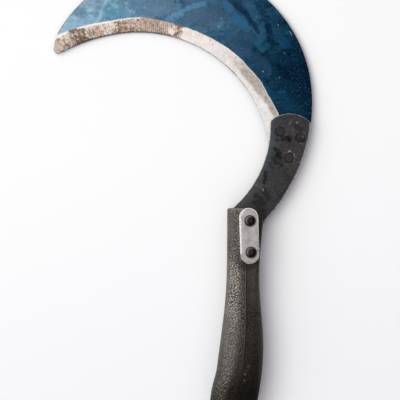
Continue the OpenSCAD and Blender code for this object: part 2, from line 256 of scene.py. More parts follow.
def rounding(distance, radius):
    """How far a surface drops at a distance from an edge that is rounded to a radius."""
    d = np.clip(distance, 0, radius)
    return radius - np.sqrt(np.maximum(radius ** 2 - (radius - d) ** 2, 0))


# Blade

def outside_blade(p):
    """Below 0 inside the blade's outline."""
    x = p[:, 0]
    at_tip = bearing(p - TIP_C) % 360
    at_nose = bearing(p - NOSE_C) % 360
    arcs = [((bearing(p - HEEL_C) < HEEL_FROM) & (x > 0), HEEL_C, HEEL_R),
            ((at_tip > TIP_FROM) & (at_tip < NOSE_TO + 60) & (x < 0), TIP_C, TIP_R),
            ((at_nose > NOSE_FROM) & (at_nose < NOSE_TO + 40) & (x < -60), NOSE_C, NOSE_R)]
    outer = length(p) - CROWN_R
    for there, centre, radius in arcs:
        outer = np.where(there, length(p - centre) - radius, outer)
    inner = np.where(bearing(p - EDGE_C) > EDGE_FLAT_FROM,
                     EDGE_FLAT_R - length(p - EDGE_FLAT_C), EDGE_R - length(p - EDGE_C))
    below = (p - JOINT_C) @ direction(JOINT_DIR - 90) > 0
    end = np.where(below, length(p - JOINT_C) - BLADE_END_R, -9.0)
    return np.maximum(np.maximum(outer, inner), end)


# Where the lacquer ends on the front, as places (degrees, radius) round the middle of the bevel's cone
LACQUER_LINE = [
    (10, 119.6), (21, 119), (29, 117.9), (35, 118.8), (41, 118), (46.6, 118.5), (54, 117.9), (63, 117),
    (72, 116.4), (81, 117), (88, 117.8), (99, 116.6), (110, 118.1), (119, 120.1), (124, 121.6)]
# Where the serration ends
TEETH_TO = 71.1
LINE_FOOT_R = 92.0
# How steeply the grooves run out of the bevel, and their half width for each millimetre of depth
GROOVE_RISE = BLADE_T / (BEVEL_W - TOOTH_NOTCH)
GROOVE_HALF = math.tan(math.radians(TOOTH_V / 2))
# Rows of points by their distance from the cutting edge and from the outer rim, and how many lie between
EDGE_ROWS = (0, 0.12, 0.3, 0.6, 1.0, 1.5, 2.2, *range(3, 13))
RIM_ROWS = (0.5, 0.35, 0.2, 0.1, 0.03, 0.0)
COVER_ROWS = 26


def blade_lines():
    """Angles of the lines across the blade, six for each tooth, then the first tooth's and the pitch."""
    step = math.degrees(TOOTH_PITCH / BEVEL_R)
    teeth = np.arange(0, 74)
    in_tooth = np.array([0.0, 0.2, 0.39, 0.5, 0.61, 0.8])
    lean_gap = math.degrees((BEVEL_R - LINE_FOOT_R) * math.tan(math.radians(TOOTH_LEAN)) / BEVEL_R)
    start = TEETH_TO - lean_gap
    toothed = (start + (teeth[:, None] + in_tooth[None, :]) * step).ravel()
    plain = np.arange(-14.0, start - 0.05, 0.55)
    return np.concatenate([plain, toothed]), start, step


def blade_profile():
    """For each line across the blade: foot, direction, both ends, and place in its tooth, or -1."""
    angles, start, step = blade_lines()
    foot = BEVEL_C + LINE_FOOT_R * direction(angles)
    way = direction(angles + TOOTH_LEAN * BEVEL_R / LINE_FOOT_R)
    pace = 0.2
    t = np.arange(0, 90, pace)
    near = np.full(len(angles), np.nan)
    far = np.full(len(angles), np.nan)
    for i in range(len(angles)):
        f = outside_blade(foot[i] + t[:, None] * way[i])
        inside = np.nonzero(f < 0)[0]
        if len(inside) < 2:
            continue
        a, b = inside[0], inside[-1]
        near[i] = t[a] if a == 0 else t[a - 1] + pace * f[a - 1] / (f[a - 1] - f[a])
        far[i] = t[b] + pace * f[b] / (f[b] - f[b + 1])
    keep = ~np.isnan(near)
    phase = np.where(angles >= start - 1e-6, ((angles - start) / step) % 1.0, -1.0)
    return foot[keep], way[keep], near[keep], far[keep], phase[keep]


def front_height(xy, from_edge, from_rim, aside, toothed):
    """Height of the front: a faintly uneven face, the ground bevel and worn, part-filled grooves."""
    polar = xy - BEVEL_C
    sheet = flat3(xy)
    face = BLADE_T + 0.05 * waves(sheet, 26.0, 3)
    slope = (BLADE_T - EDGE_T) / BEVEL_W
    ground = EDGE_T + slope * (length(polar) - BEVEL_R) + 0.035 * waves(sheet, 4.0, 5)
    ground = np.where(bearing(polar) > BEVEL_TO, ground, BLADE_T + 9)
    # the bevel meets the face in a soft line
    z = np.minimum(face, ground) - 0.12 * np.exp(-((face - ground) / 0.16) ** 2)
    # dirt fills the grooves in places, most of all towards the tip
    filled = np.clip(0.5 + 0.9 * waves(sheet, 7.0, 12), 0, 1)
    filled = filled * (0.36 + 0.12 * smooth((bearing(polar) - 92) / 14))
    cut = (from_edge - TOOTH_NOTCH) * GROOVE_RISE + aside / GROOVE_HALF + 0.08 * waves(sheet, 1.6, 8)
    cut = cut + filled * smooth((from_edge - 0.6) / 1.2)
    z = np.where(toothed, np.minimum(z, cut), z)
    return np.clip(z - rounding(from_rim, 0.4) + 0.02 * waves(sheet, 1.2, 9), 0.12, None)


def make_blade():
    foot, way, near, far, phase = blade_profile()
    toothed = phase >= 0
    # how far a line lies from its groove's middle, in millimetres
    aside = np.abs(phase - 0.5) * TOOTH_PITCH
    notch = np.clip(TOOTH_NOTCH - aside / (GROOVE_HALF * GROOVE_RISE), 0, None)
    near = near + np.where(toothed, notch, 0.0)
    width = far - near
    scale = np.minimum(1.0, width / 14.0)
    inner_end = near + EDGE_ROWS[-1] * scale
    outer_end = far - RIM_ROWS[0] * scale
    front = [near + d * scale for d in EDGE_ROWS]
    front += [inner_end + (outer_end - inner_end) * s for s in np.linspace(0, 1, COVER_ROWS + 2)[1:-1]]
    front += [far - d * scale for d in RIM_ROWS]
    back = [near, near + 0.4 * scale] + [near + width * s for s in np.linspace(0.08, 0.92, 10)]
    back += [far - 0.35 * scale, far]
    rows, columns = len(front), len(near)
    low = rows * columns
    along = np.array(front + back)
    xy = (foot + along[:, :, None] * way).reshape(-1, 2)
    from_edge = (along - near).ravel()
    from_rim = (far - along).ravel()
    aside, toothed = np.tile(aside, rows), np.tile(toothed, rows)
    top = front_height(xy[:low], from_edge[:low], from_rim[:low], aside, toothed)
    points = np.column_stack([xy, np.append(top, rounding(from_rim[low:], 0.35))])
    faces = grid_faces(rows, columns)
    faces += [tuple(reversed(f)) for f in grid_faces(len(back), columns, start=low)]
    for c in range(columns - 1):
        faces.append((c + 1, c, low + c, low + c + 1))
        a = (rows - 1) * columns + c
        b = low + (len(back) - 1) * columns + c
        faces.append((a, a + 1, b + 1, b))
    for c in (0, columns - 1):
        loop = [r * columns + c for r in range(rows)]
        loop += [low + r * columns + c for r in reversed(range(len(back)))]
        faces.append(tuple(loop))
    at = bearing(xy - BEVEL_C)
    bare = np.interp(at, *np.array(LACQUER_LINE).T) - length(xy - BEVEL_C)
    bare[low:] = -20.0
    groove = np.ones(len(xy))
    groove[:low] = np.where(toothed, aside / (TOOTH_PITCH / 2), 1.0)
    values = {"bare": bare, "edge": from_edge, "rim": from_rim, "turn": at, "groove": groove}
    return piece("blade_steel", points, faces, "blade", values)


# Arm and plates keep their CAD outlines, with edges worn round and, away from the rivets, rubbed bright

HOLE_RIM_R = 5.2
FLAT_WITHIN, HARD_FROM = math.radians(0.6), math.radians(35)


def worn(name, node, width):
    """A copy of a CAD node with rounded edges, whose worn rims are the second material."""
    bm = bmesh.new()
    bm.from_mesh(NODES[node].data)
    bmesh.ops.remove_doubles(bm, verts=bm.verts, dist=0.005 * MM)
    bmesh.ops.dissolve_limit(bm, angle_limit=FLAT_WITHIN, verts=bm.verts, edges=bm.edges)
    bm.normal_update()
    hard = [e for e in bm.edges if len(e.link_faces) == 2 and e.calc_face_angle() > HARD_FROM]
    cut = bmesh.ops.bevel(bm, geom=hard, offset=width * MM, segments=3, profile=0.5, affect="EDGES",
                          clamp_overlap=True)
    holes = [LIE @ Vector((*spot, MID_Z)) for spot in BLADE_RIVETS + HANDLE_RIVETS]
    for face in cut["faces"]:
        middle = face.calc_center_median()
        if min((middle - hole).xy.length for hole in holes) > HOLE_RIM_R * MM:
            face.material_index = 1
    bmesh.ops.triangulate(bm, faces=[f for f in bm.faces if len(f.verts) > 4])
    mesh = bpy.data.meshes.new(name)
    bm.to_mesh(mesh)
    bm.free()
    return dressed(linked(name, mesh), node, 32)


# Rivets

def turned(name, centre, profile, node, dent, salt):
    """A lathe piece on a vertical axis, from (radius, height) points, with a hammered unevenness."""
    sides = 72
    around = direction(np.linspace(0, 360, sides, endpoint=False))
    points = np.vstack([flat3(centre + radius * around, height) for radius, height in profile])
    inward = np.array([*centre, MID_Z]) - points
    inward /= length(inward)[:, None]
    points = points + inward * (dent * (0.5 + 0.5 * waves(points, 2.2, salt)))[:, None]
    return piece(name, points, tube_faces(len(profile), sides), node)


def dome(side):
    """Profile of a low rivet head on a plate, from its foot to its flattened, faintly dished middle."""
    foot, flat = RIVET_HEAD_D / 2, RIVET_FLAT_D / 2
    out = [(foot - 0.12, 0.0), (foot, 0.12), (foot, RIVET_WALL)]
    for u in np.linspace(0, math.pi / 2, 10)[1:]:
        height = RIVET_WALL + (RIVET_HEAD_H - RIVET_WALL) * math.sin(u)
        out.append((foot + (flat - foot) * (1 - math.cos(u)), height))
    for r, dish in ((flat - 0.5, 0.02), (flat * 0.4, 0.06), (0.05, 0.08)):
        out.append((r, RIVET_HEAD_H - dish))
    return [(r, MID_Z + side * (PLATE_FACE_Z + h)) for r, h in out]


def make_handle_rivet(i, name, node):
    shank = [(RIVET_D / 2, MID_Z - PLATE_FACE_Z), (RIVET_D / 2, MID_Z + PLATE_FACE_Z)]
    return turned(name, HANDLE_RIVETS[i], dome(-1)[::-1] + shank + dome(1), node, 0.12, 11 + i)


def flush_end(level, way):
    """Profile of a countersunk head worn flush with a face, from its shank to its dished middle."""
    head = BLADE_RIVET_HEAD_D / 2
    out = [(BLADE_RIVET_D / 2, BLADE_RIVET_SINK), (head - 0.3, 0.45), (head - 0.06, 0.34),
           (head - 0.14, 0.16), (head - 0.4, 0.05), (head - 1.2, 0.03), (1.2, 0.1), (0.05, 0.12)]
    return [(r, level - way * deep) for r, deep in out]


def make_blade_rivet(i, name, node):
    profile = flush_end(0.0, -1)[::-1] + flush_end(BLADE_T + ARM_T, 1)
    return turned(name, BLADE_RIVETS[i], profile, node, 0.05, 21 + i)


# Handle

def blend(a, b, u):
    return a + (b - a) * smooth(u)


# Left of the grip's line: its width at the top, a flare that starts at a place, eased over a length, and a
# hook at the butt
LEFT_TOP, FLARE, FLARE_AT, FLARE_EASE = 13.8, 0.14, 66.0, 20.0
HOOK, HOOK_AT, HOOK_LEN = 1.8, 124.0, 18.0
# Right of it: its width at the top, waist and belly, and the radius of the curve from there to the butt
RIGHT_TOP, RIGHT_WAIST, RIGHT_BELLY, RIGHT_R = 14.1, 10.9, 14.0, 203.0
DOME_POWER = 2.3


def left_side(s):
    past = s - FLARE_AT
    flare = FLARE / 2 * (past + np.sqrt(past ** 2 + FLARE_EASE ** 2))
    return LEFT_TOP + flare + blend(0.0, HOOK, (s - HOOK_AT) / HOOK_LEN)


def right_side(s):
    upper = blend(RIGHT_TOP, RIGHT_WAIST, s / WAIST_AT)
    lower = blend(RIGHT_WAIST, RIGHT_BELLY, (s - WAIST_AT) / (BELLY_AT - WAIST_AT))
    butt = RIGHT_BELLY - (s - BELLY_AT) ** 2 / (2 * RIGHT_R)
    return np.where(s < WAIST_AT, upper, np.where(s < BELLY_AT, lower, butt))


def depth(s):
    top, waist, belly, butt = DEPTHS
    upper = blend(top, waist, s / WAIST_AT)
    lower = blend(waist, belly, (s - WAIST_AT) / (BELLY_AT - WAIST_AT))
    end = blend(belly, butt, (s - BELLY_AT) / (BUTT_AT - BELLY_AT))
    return np.where(s < WAIST_AT, upper, np.where(s < BELLY_AT, lower, end))


def squareness(s):
    """The power of the rounded outline across the grip: boxy at the top, nearly an oval lower down."""
    return blend(7.0, 2.4, (s - 30) / 52)


HANDLE_SIDES = 400
RING_STEP = 0.28
TOP_SHRINKS = (0.03, 0.25, 0.5, 0.7, 0.84, 0.92, 0.97)
PEBBLE, PEBBLE_TURN = 1.5, 0.6
# How deep the grain is left and right of the crest, and how much shallower where the right is worn
GRAIN_LEFT, GRAIN_RIGHT, GRAIN_WORN = 0.42, 0.34, 0.24
SEAM_RIDGE, SEAM_GUTTER = 0.28, 0.10


def handle_ring(s, shrink=1.0):
    """Points evenly spaced round the grip at a distance s below its top, shrunk on the flat top."""
    left, right = float(left_side(s)), float(right_side(s))
    domed = 1.0
    if s > BUTT_AT:
        into = (s - BUTT_AT) / (HANDLE_LEN - BUTT_AT)
        domed = max(0.0, 1 - into ** DOME_POWER) ** (1 / DOME_POWER)
    drawn = float(rounding(s, TOP_EDGE_R))
    half_w = (left + right) / 2 * domed - drawn
    half_d = float(depth(s)) / 2 * domed - drawn
    crest = CREST_RIGHT * domed
    power = 2 / float(squareness(s))
    a = np.linspace(0, 2 * math.pi, 1800, endpoint=False) + math.pi / 2
    c, d = np.cos(a), np.sin(a)
    x = crest + np.where(c > 0, half_w - crest, half_w + crest) * np.sign(c) * np.abs(c) ** power
    z = half_d * np.sign(d) * np.abs(d) ** power
    loop = np.column_stack([np.append(x, x[0]), np.append(z, z[0])]) * shrink
    run = np.concatenate([[0], np.cumsum(length(np.diff(loop, axis=0)))])
    even = np.linspace(0, run[-1], HANDLE_SIDES, endpoint=False)
    x = HANDLE_TOP[0] + (right - left) / 2 + np.interp(even, run, loop[:, 0])
    z = MID_Z + np.interp(even, run, loop[:, 1])
    return np.column_stack([x, np.full(HANDLE_SIDES, HANDLE_TOP[1] - s), z])


def crest_line(s):
    return HANDLE_TOP[0] + (right_side(s) - left_side(s)) / 2 + CREST_RIGHT


def handle_shell():
    """Rings down the grip: over its flat top, its rounded top edge, its body and its domed butt."""
    rings = [handle_ring(0.0, k) for k in TOP_SHRINKS]
    rings += [handle_ring(TOP_EDGE_R * (1 - math.cos(u))) for u in np.linspace(0, math.pi / 2, 7)]
    rings += [handle_ring(s) for s in np.arange(TOP_EDGE_R + RING_STEP, BUTT_AT, RING_STEP)]
    rings += [handle_ring(BUTT_AT + (HANDLE_LEN - BUTT_AT) * 0.9995 * math.sin(u))
              for u in np.linspace(0, math.pi / 2, 64)]
    rings += [rings[-1] * k + rings[-1].mean(0) * (1 - k) for k in (0.6, 0.25)]
    return np.array(rings)


def handle_grain(points, around):
    """How far each point is drawn in: pebbles, shallow right of the crest, none on worn places."""
    s = HANDLE_TOP[1] - points[:, 1]
    sheet = np.column_stack([around, s])
    from_crest = points[:, 0] - crest_line(s)
    front = smooth((points[:, 2] - MID_Z) / 2 + 0.5)
    c, d = math.cos(PEBBLE_TURN), math.sin(PEBBLE_TURN)
    slanted = np.column_stack([around * c - s * d, around * d + s * c])
    pebble = smooth((cells(slanted, PEBBLE, 31, 0.8) - 0.15) / 0.4)
    fine = smooth((cells(sheet, 1.3, 37) - 0.2) / 0.4)
    # left of the crest deep pebbles, right of it a fine shallow grain
    right = smooth(from_crest / 1.2 + 0.5) * front
    worn_right = smooth((s - 40) / 6) * (1 - smooth((s - 68) / 14))
    deep = GRAIN_LEFT * (1 - right) + right * (GRAIN_RIGHT - GRAIN_WORN * worn_right)
    rim = smooth((s - 1.3) / 1.0)
    corner = 1 - (1 - smooth((s - 44) / 16)) * smooth((-from_crest - 14.2) / 0.9)
    side_seam = smooth(np.abs(points[:, 2] - MID_Z) / 0.7 - 0.8)
    wear = 0.75 + 0.25 * waves(points, 14.0, 41)
    drop = deep * pebble * rim * corner * side_seam * wear + 0.05 * fine * rim * front * right
    # the thin ridge where the mould's halves met, down the crest to the butt
    along = smooth((s - 40) / 3) * (1 - smooth((s - 118) / 14)) * front
    ridge = SEAM_RIDGE * np.exp(-(from_crest / 0.35) ** 2) * along
    gutter = SEAM_GUTTER * np.exp(-((np.abs(from_crest) - 0.8) / 0.35) ** 2) * along
    return drop * (1 - 0.8 * np.exp(-(from_crest / 0.7) ** 2) * along) - ridge + gutter


def prism(name, outline, low, high):
    n = len(outline)
    points = [(x, y, z) for z in (low, high) for x, y in outline]
    faces = [tuple(reversed(range(n))), tuple(range(n, 2 * n))]
    faces += [(i, (i + 1) % n, n + (i + 1) % n, n + i) for i in range(n)]
    return linked(name, new_mesh(name, points, faces))


# The slot's cut on the left, right and up from the middle of the handle's top, and on the right, along the
# arm's outer side: the angle where that side runs straight, its length, and where the cut ends above it
SLOT_LEFT, SLOT_OVER, SLOT_SHOULDER = -12.15, 9.0, -3.0
SIDE_FROM, SIDE_LEN, SIDE_END = -38.0, 18.4, (-6.0, 12.0)


def stadium(room):
    """A plate's outline, with room all round."""
    half = PLATE_W / 2 + room
    reach = (PLATE_LEN - PLATE_W) / 2
    turns = np.linspace(0, math.pi, 24)
    return [on_plate_line(end * half * math.cos(a), -end * (reach + half * math.sin(a)))
            for end in (1, -1) for a in turns]


def tang_slot():
    """The slot in the handle's top for the arm's root and tang."""
    side, crop = TANG_W / 2 + TANG_ROOM, TANG_W / 2 - TANG_CROP
    top, end = NECK_LEN - PLATE_DOWN, TANG_LEN - PLATE_DOWN
    tang = [(-side, top), (-side, end - TANG_CROP), (-crop, end + TANG_ROOM),
            (crop, end + TANG_ROOM), (side, end - TANG_CROP), (side, top)]
    points = [HANDLE_TOP + (SLOT_LEFT, SLOT_OVER), HANDLE_TOP + (SLOT_LEFT, SLOT_SHOULDER)]
    points += [on_plate_line(RIVET_RIGHT + across, along) for across, along in tang]
    outer = HEEL_C + (HEEL_R + TANG_ROOM) * direction(SIDE_FROM)
    return points + [outer + SIDE_LEN * direction(SIDE_FROM - 90), outer, outer + SIDE_END]


def make_handle():
    rings = handle_shell()
    count, sides = rings.shape[:2]
    points = rings.reshape(-1, 3)
    around = (np.roll(rings, -1, 1) - np.roll(rings, 1, 1)) / 2
    normals = np.cross(np.gradient(rings, axis=0), around).reshape(-1, 3)
    normals = normals / np.maximum(length(normals)[:, None], 1e-9)
    centre = np.repeat(rings.mean(1), sides, 0)
    if np.sum(normals * (points - centre), 1).mean() < 0:
        normals = -normals
    # the flat top with the start of its edge, and the last rings of the butt, are plain
    ring = np.arange(count).repeat(sides)
    body = (ring >= len(TOP_SHRINKS) + 3) & (ring < count - 3)
    index = (np.arange(sides) + sides // 2) % sides - sides // 2
    spacing = length(rings[:, 1] - rings[:, 0])
    dip = handle_grain(points, (spacing[:, None] * index).ravel()) * body
    points = points - normals * dip[:, None]
    down = HANDLE_TOP[1] - points[:, 1]
    flank = points[:, 0] - crest_line(down)
    reach = flank / ((left_side(down) + right_side(down)) / 2 + CREST_RIGHT)
    values = {"dip": dip, "flank": flank, "reach": reach, "down": down}
    mesh = new_mesh("grip", points, tube_faces(count, sides), values)
    facing_out(mesh)
    grip = linked("grip", mesh)
    seat = stadium(SEAT_GAP)
    slot_half = ARM_T / 2 + TANG_ROOM
    outside = 30
    cutters = [prism("slot_cutter", tang_slot(), MID_Z - slot_half, MID_Z + slot_half),
               prism("front_seat", seat, MID_Z + SEAT_Z, MID_Z + outside),
               prism("back_seat", seat, MID_Z - outside, MID_Z - SEAT_Z)]
    for cutter in cutters:
        step = grip.modifiers.new(cutter.name, "BOOLEAN")
        step.operation = "DIFFERENCE"
        step.solver = "MANIFOLD"
        step.object = cutter
    bpy.context.view_layer.update()
    done = bpy.data.meshes.new_from_object(grip.evaluated_get(bpy.context.evaluated_depsgraph_get()))
    grip.modifiers.clear()
    grip.data = done
    for cutter in cutters:
        bpy.data.objects.remove(cutter)
    done.transform(LIE)
    done.materials.clear()
    return dressed(grip, "handle", 60)


# Materials

def srgb(text):
    """Linear colour from a hex code."""
    out = []
    for i in (0, 2, 4):
        v = int(text[i:i + 2], 16) / 255
        out.append(v / 12.92 if v <= 0.04045 else ((v + 0.055) / 1.055) ** 2.4)
    return (*out, 1.0)


class Number:
    """A number that a material works out, which takes part in sums."""

    def __init__(self, paint, socket):
        self.paint = paint
        self.socket = socket

    def __add__(self, other):
        return self.paint.math("ADD", self, other)

    def __sub__(self, other):
        return self.paint.math("SUBTRACT", self, other)

    def __rsub__(self, other):
        return self.paint.math("SUBTRACT", other, self)

    def __mul__(self, other):
        return self.paint.math("MULTIPLY", self, other)

    def __abs__(self):
        return self.paint.math("ABSOLUTE", self)


class Paint:
    """A node material, or the world's light, built one node at a time."""

    def __init__(self, name, world=False):
        self.owner = (bpy.data.worlds if world else bpy.data.materials).new(name)
        self.owner.use_nodes = True
        self.tree = self.owner.node_tree
        self.tree.nodes.clear()
        self.shader = self.node("Background" if world else "BsdfPrincipled")
        self.node("OutputWorld" if world else "OutputMaterial", {0: self.shader.outputs[0]})
        self.place = self.node("TexCoord").outputs["Generated" if world else "Object"]

    def node(self, kind, inputs=None, **settings):
        made = self.tree.nodes.new("ShaderNode" + kind)
        for key, value in settings.items():
            setattr(made, key, value)
        for key, value in (inputs or {}).items():
            self.put(made.inputs[key], value)
        return made

    def put(self, socket, value):
        """Feeds an input with a number, a colour by hex code, or what another node gives."""
        value = getattr(value, "socket", value)
        if isinstance(value, bpy.types.NodeSocket):
            self.tree.links.new(value, socket)
        else:
            socket.default_value = srgb(value) if isinstance(value, str) else value

    def set(self, **values):
        for key, value in values.items():
            self.put(self.shader.inputs[key.replace("_", " ")], value)

    def value(self, name):
        """A number that the mesh holds at its points."""
        return Number(self, self.node("Attribute", attribute_name=name).outputs["Fac"])

    def axis(self, i):
        return Number(self, self.node("SeparateXYZ", {0: self.place}).outputs[i])

    def math(self, operation, a, b=0.0):
        return Number(self, self.node("Math", {0: a, 1: b}, operation=operation).outputs[0])

    def vector(self, operation, a, b):
        """A vector from two, or their distance or dot product as a number."""
        second = "Scale" if operation == "SCALE" else 1
        made = self.node("VectorMath", {0: a, second: b}, operation=operation)
        if operation in ("DISTANCE", "DOT_PRODUCT"):
            return Number(self, made.outputs["Value"])
        return made.outputs[0]

    def step(self, value, low, high, first=0.0, last=1.0):
        """Smoothly from first to last as value goes from low to high."""
        inputs = {"Value": value, "From Min": low, "From Max": high, "To Min": first, "To Max": last}
        return Number(self, self.node("MapRange", inputs, interpolation_type="SMOOTHSTEP").outputs[0])

    def texture(self, kind, size, place=None, **inputs):
        """What a texture gives whose features are about size millimetres wide."""
        inputs = {"Vector": place or self.place, "Scale": 1 / (size * MM), **inputs}
        return self.node(kind, inputs).outputs

    def noise(self, size, detail=4.0, roughness=0.55, distortion=0.0, place=None):
        inputs = {"Detail": detail, "Roughness": roughness, "Distortion": distortion}
        return Number(self, self.texture("TexNoise", size, place, **inputs)[0])

    def sway(self, *settings):
        """The same noise, but about zero."""
        return self.noise(*settings) - 0.5

    def spots(self, size, reach, fade, strength=1.0):
        """Scattered round spots, full within a reach and gone at fade, both as shares of size."""
        return self.step(self.texture("TexVoronoi", size)["Distance"], reach, fade, strength, 0.0)

    def facets(self, place, size, squash, turn):
        """A number from 0 to 1 for each of scattered cells, which are squashed across a direction."""
        inputs = {"Vector": place, "Rotation": (0, 0, math.radians(-turn)), "Scale": (1, squash, 1)}
        place = self.node("Mapping", inputs).outputs[0]
        patches = self.texture("TexVoronoi", size, place)["Color"]
        return Number(self, self.node("SeparateColor", {0: patches}).outputs[0])

    def mix(self, share, a, b, blend="MIX"):
        return self.node("Mix", {0: share, 6: a, 7: b}, data_type="RGBA", blend_type=blend).outputs[2]

    def ramp(self, value, stops):
        """Colours by hex code, or grey levels, along a value from 0 to 1."""
        made = self.node("ValToRGB", {0: value})
        held = made.color_ramp.elements
        for i, (at, colour) in enumerate(stops):
            stop = held[i] if i < 2 else held.new(at)
            stop.position = at
            stop.color = srgb(colour) if isinstance(colour, str) else (colour, colour, colour, 1.0)
        return made.outputs[0]

    def course(self, value, low, high, stops):
        """A number along a value, from (value, number) pairs in rising order, straight in between."""
        span = self.node("MapRange", {"Value": value, "From Min": low, "From Max": high}).outputs[0]
        return Number(self, self.ramp(span, [((at - low) / (high - low), level) for at, level in stops]))

    def bump(self, height, depth, strength=0.5):
        inputs = {"Height": height, "Distance": depth * MM, "Strength": strength}
        self.set(Normal=self.node("Bump", inputs).outputs[0])

    def distance_to(self, spot, level):
        """Distance in millimetres from a place in the flat drawing."""
        return self.vector("DISTANCE", self.place, tuple(LIE @ Vector((*spot, level)))) * (1 / MM)

    def above(self, level):
        """Height in millimetres above a level of the flat drawing."""
        up = (LIE.to_3x3() @ Vector((0, 0, 1))).normalized()
        foot = up.dot(LIE @ Vector((0, 0, level)))
        return (self.vector("DOT_PRODUCT", self.place, tuple(up)) - foot) * (1 / MM)

    def warped(self, *swells):
        """Places shifted by noise, from (size, shift) pairs in millimetres."""
        place = self.place
        for size, shift in swells:
            push = self.vector("SUBTRACT", self.texture("TexNoise", size, Detail=2.0)[1], (0.5, 0.5, 0.5))
            place = self.vector("ADD", place, self.vector("SCALE", push, shift * 2 * MM))
        return place

    def stroke(self, place, line, half, core=0.25, level=BLADE_T):
        """From 1 near a line drawn in pixels, at a level, to 0 at half millimetres away from it."""
        p, q = [LIE @ Vector((*px(*end), level)) for end in (line[:2], line[2:])]
        run = q - p
        away = self.vector("SUBTRACT", place, tuple(p))
        along = self.vector("DOT_PRODUCT", away, tuple(run / run.length_squared))
        foot = self.vector("SCALE", tuple(run), self.node("Clamp", {0: along}).outputs[0])
        return self.step(self.vector("DISTANCE", away, foot), core * half * MM, half * MM, 1.0, 0.0)

    def marked(self, colour, place, marks, level=BLADE_T, core=0.3, grain=1.0):
        """A colour under listed marks, whose strength is also multiplied by grain."""
        for *line, half, code, strength in marks:
            share = self.stroke(place, line, half, core, level) * grain * strength
            colour = self.mix(share, colour, code)
        return colour


# Marks given one by one: from x, y and to x, y in the photograph's pixels, half width in millimetres, then
# either how much paler or darker, or a colour and how strongly it covers
SHADES = [
    (262, 62, 300, 74, 22.0, -0.08), (284, 66, 306, 84, 12.0, -0.06), (74, 9, 84, 15, 5.5, -0.12),
    (108, -2, 97, 22, 2.6, 0.14), (128, 14, 128, -2, 2.0, 0.08), (178, 2, 190, 6, 4.2, -0.1),
    (254, 22, 261, 44, 3.6, 0.08), (62, 30, 72, 22, 5.0, -0.05), (242, -2, 256, 14, 4.0, 0.07)]
FLATS = [
    (108, 12, 124, 14, 5.5, "5089a5", 0.55), (136, 2, 148, 10, 8.5, "587890", 0.75),
    (154, 2, 172, 9, 7.0, "59758a", 0.6), (73, 10, 80, 15, 3.2, "6f8396", 0.6),
    (84, 4, 100, 5, 4.0, "7890a2", 0.5), (62, 28, 92, 22, 4.5, "8fb2c5", 0.5),
    (190, 14, 216, 22, 8.0, "445e73", 0.6), (206, 6, 224, 16, 5.0, "395467", 0.55),
    (228, 32, 236, 46, 5.0, "33546d", 0.5), (241, 40, 243, 44, 9.0, "27435a", 0.7),
    (240, 50, 248, 53, 3.6, "344768", 0.5), (254, 40, 262, 50, 2.8, "225069", 0.6),
    (262, 50, 268, 45, 2.4, "20506a", 0.5), (278, 36, 286, 44, 5.2, "123b58", 0.7),
    (254, 58, 266, 70, 6.5, "23435b", 0.6), (260, 84, 272, 98, 5.0, "163c55", 0.5),
    (246, 2, 254, 12, 4.0, "2b4b64", 0.5), (262, 28, 264, 36, 3.2, "22506b", 0.5),
    (282, 94, 288, 106, 4.5, "0b364d", 0.6), (298, 70, 305, 104, 5.0, "041e33", 0.7),
    (272, 86, 296, 86, 3.4, "06263c", 0.5), (272, 58, 292, 62, 4.0, "0a2c44", 0.4)]
RUNS = [
    (167, 18.5, 180, 12.5, 2.0, "5787aa", 0.75), (173, 19.5, 182, 14, 2.3, "5884a2", 0.6),
    (180, 12, 190, 8, 1.8, "5484a5", 0.75), (188, 7.5, 203, 3.5, 2.8, "5081a3", 0.75),
    (178, 0, 180, 9, 2.0, "54819f", 0.5), (205, -2, 206, 6, 1.5, "47748e", 0.5),
    (225, -2, 229, 8, 4.0, "365f7f", 0.7), (229, 8, 237, 20, 4.6, "2f5d7b", 0.7),
    (236, 18, 245, 27, 4.0, "28587a", 0.75), (243, 22, 247, 27, 2.2, "235c82", 0.6),
    (218, 26, 222, 22.5, 1.8, "3f7583", 0.6)]
SCORES = [
    (229, -1, 236, 5, 2.6, "14384a", 0.9), (235, 4, 244, 12, 2.8, "102d42", 0.95),
    (243, 11, 252, 22, 2.4, "092744", 0.95), (251, 21, 258, 32, 2.0, "082844", 0.95),
    (249, 17, 257, 25, 1.3, "0a2a46", 0.9), (256, 2, 264, 16, 2.0, "103349", 0.8),
    (263, 15, 268, 26, 2.2, "0b2c44", 0.9), (268, 26, 271, 40, 3.1, "001e38", 0.95),
    (272, 38, 275, 35, 1.6, "0a2b45", 0.7), (184, 1, 191, 3, 1.8, "455a78", 0.6)]
GLINTS = [
    (221.5, 18.2, 221.6, 18.2, 0.7, "9fb8c4", 0.45), (218.7, 26.6, 219, 26.2, 0.9, "6aa0ab", 0.5),
    (278, 24.6, 278, 25, 0.6, "7d98a8", 0.6), (262.8, 71, 263, 71.2, 0.7, "7fa0ae", 0.6),
    (279.4, 77.6, 279.6, 77.6, 0.6, "7894a2", 0.5), (284.5, 53, 284.8, 53.2, 0.6, "6f8fa0", 0.5),
    (289.5, 31, 292, 35, 0.45, "8b9aa2", 0.5), (108, 8, 109, 9, 0.6, "b5d3dc", 0.35),
    (126, 7, 126.5, 8, 0.7, "a9c8d2", 0.35)]
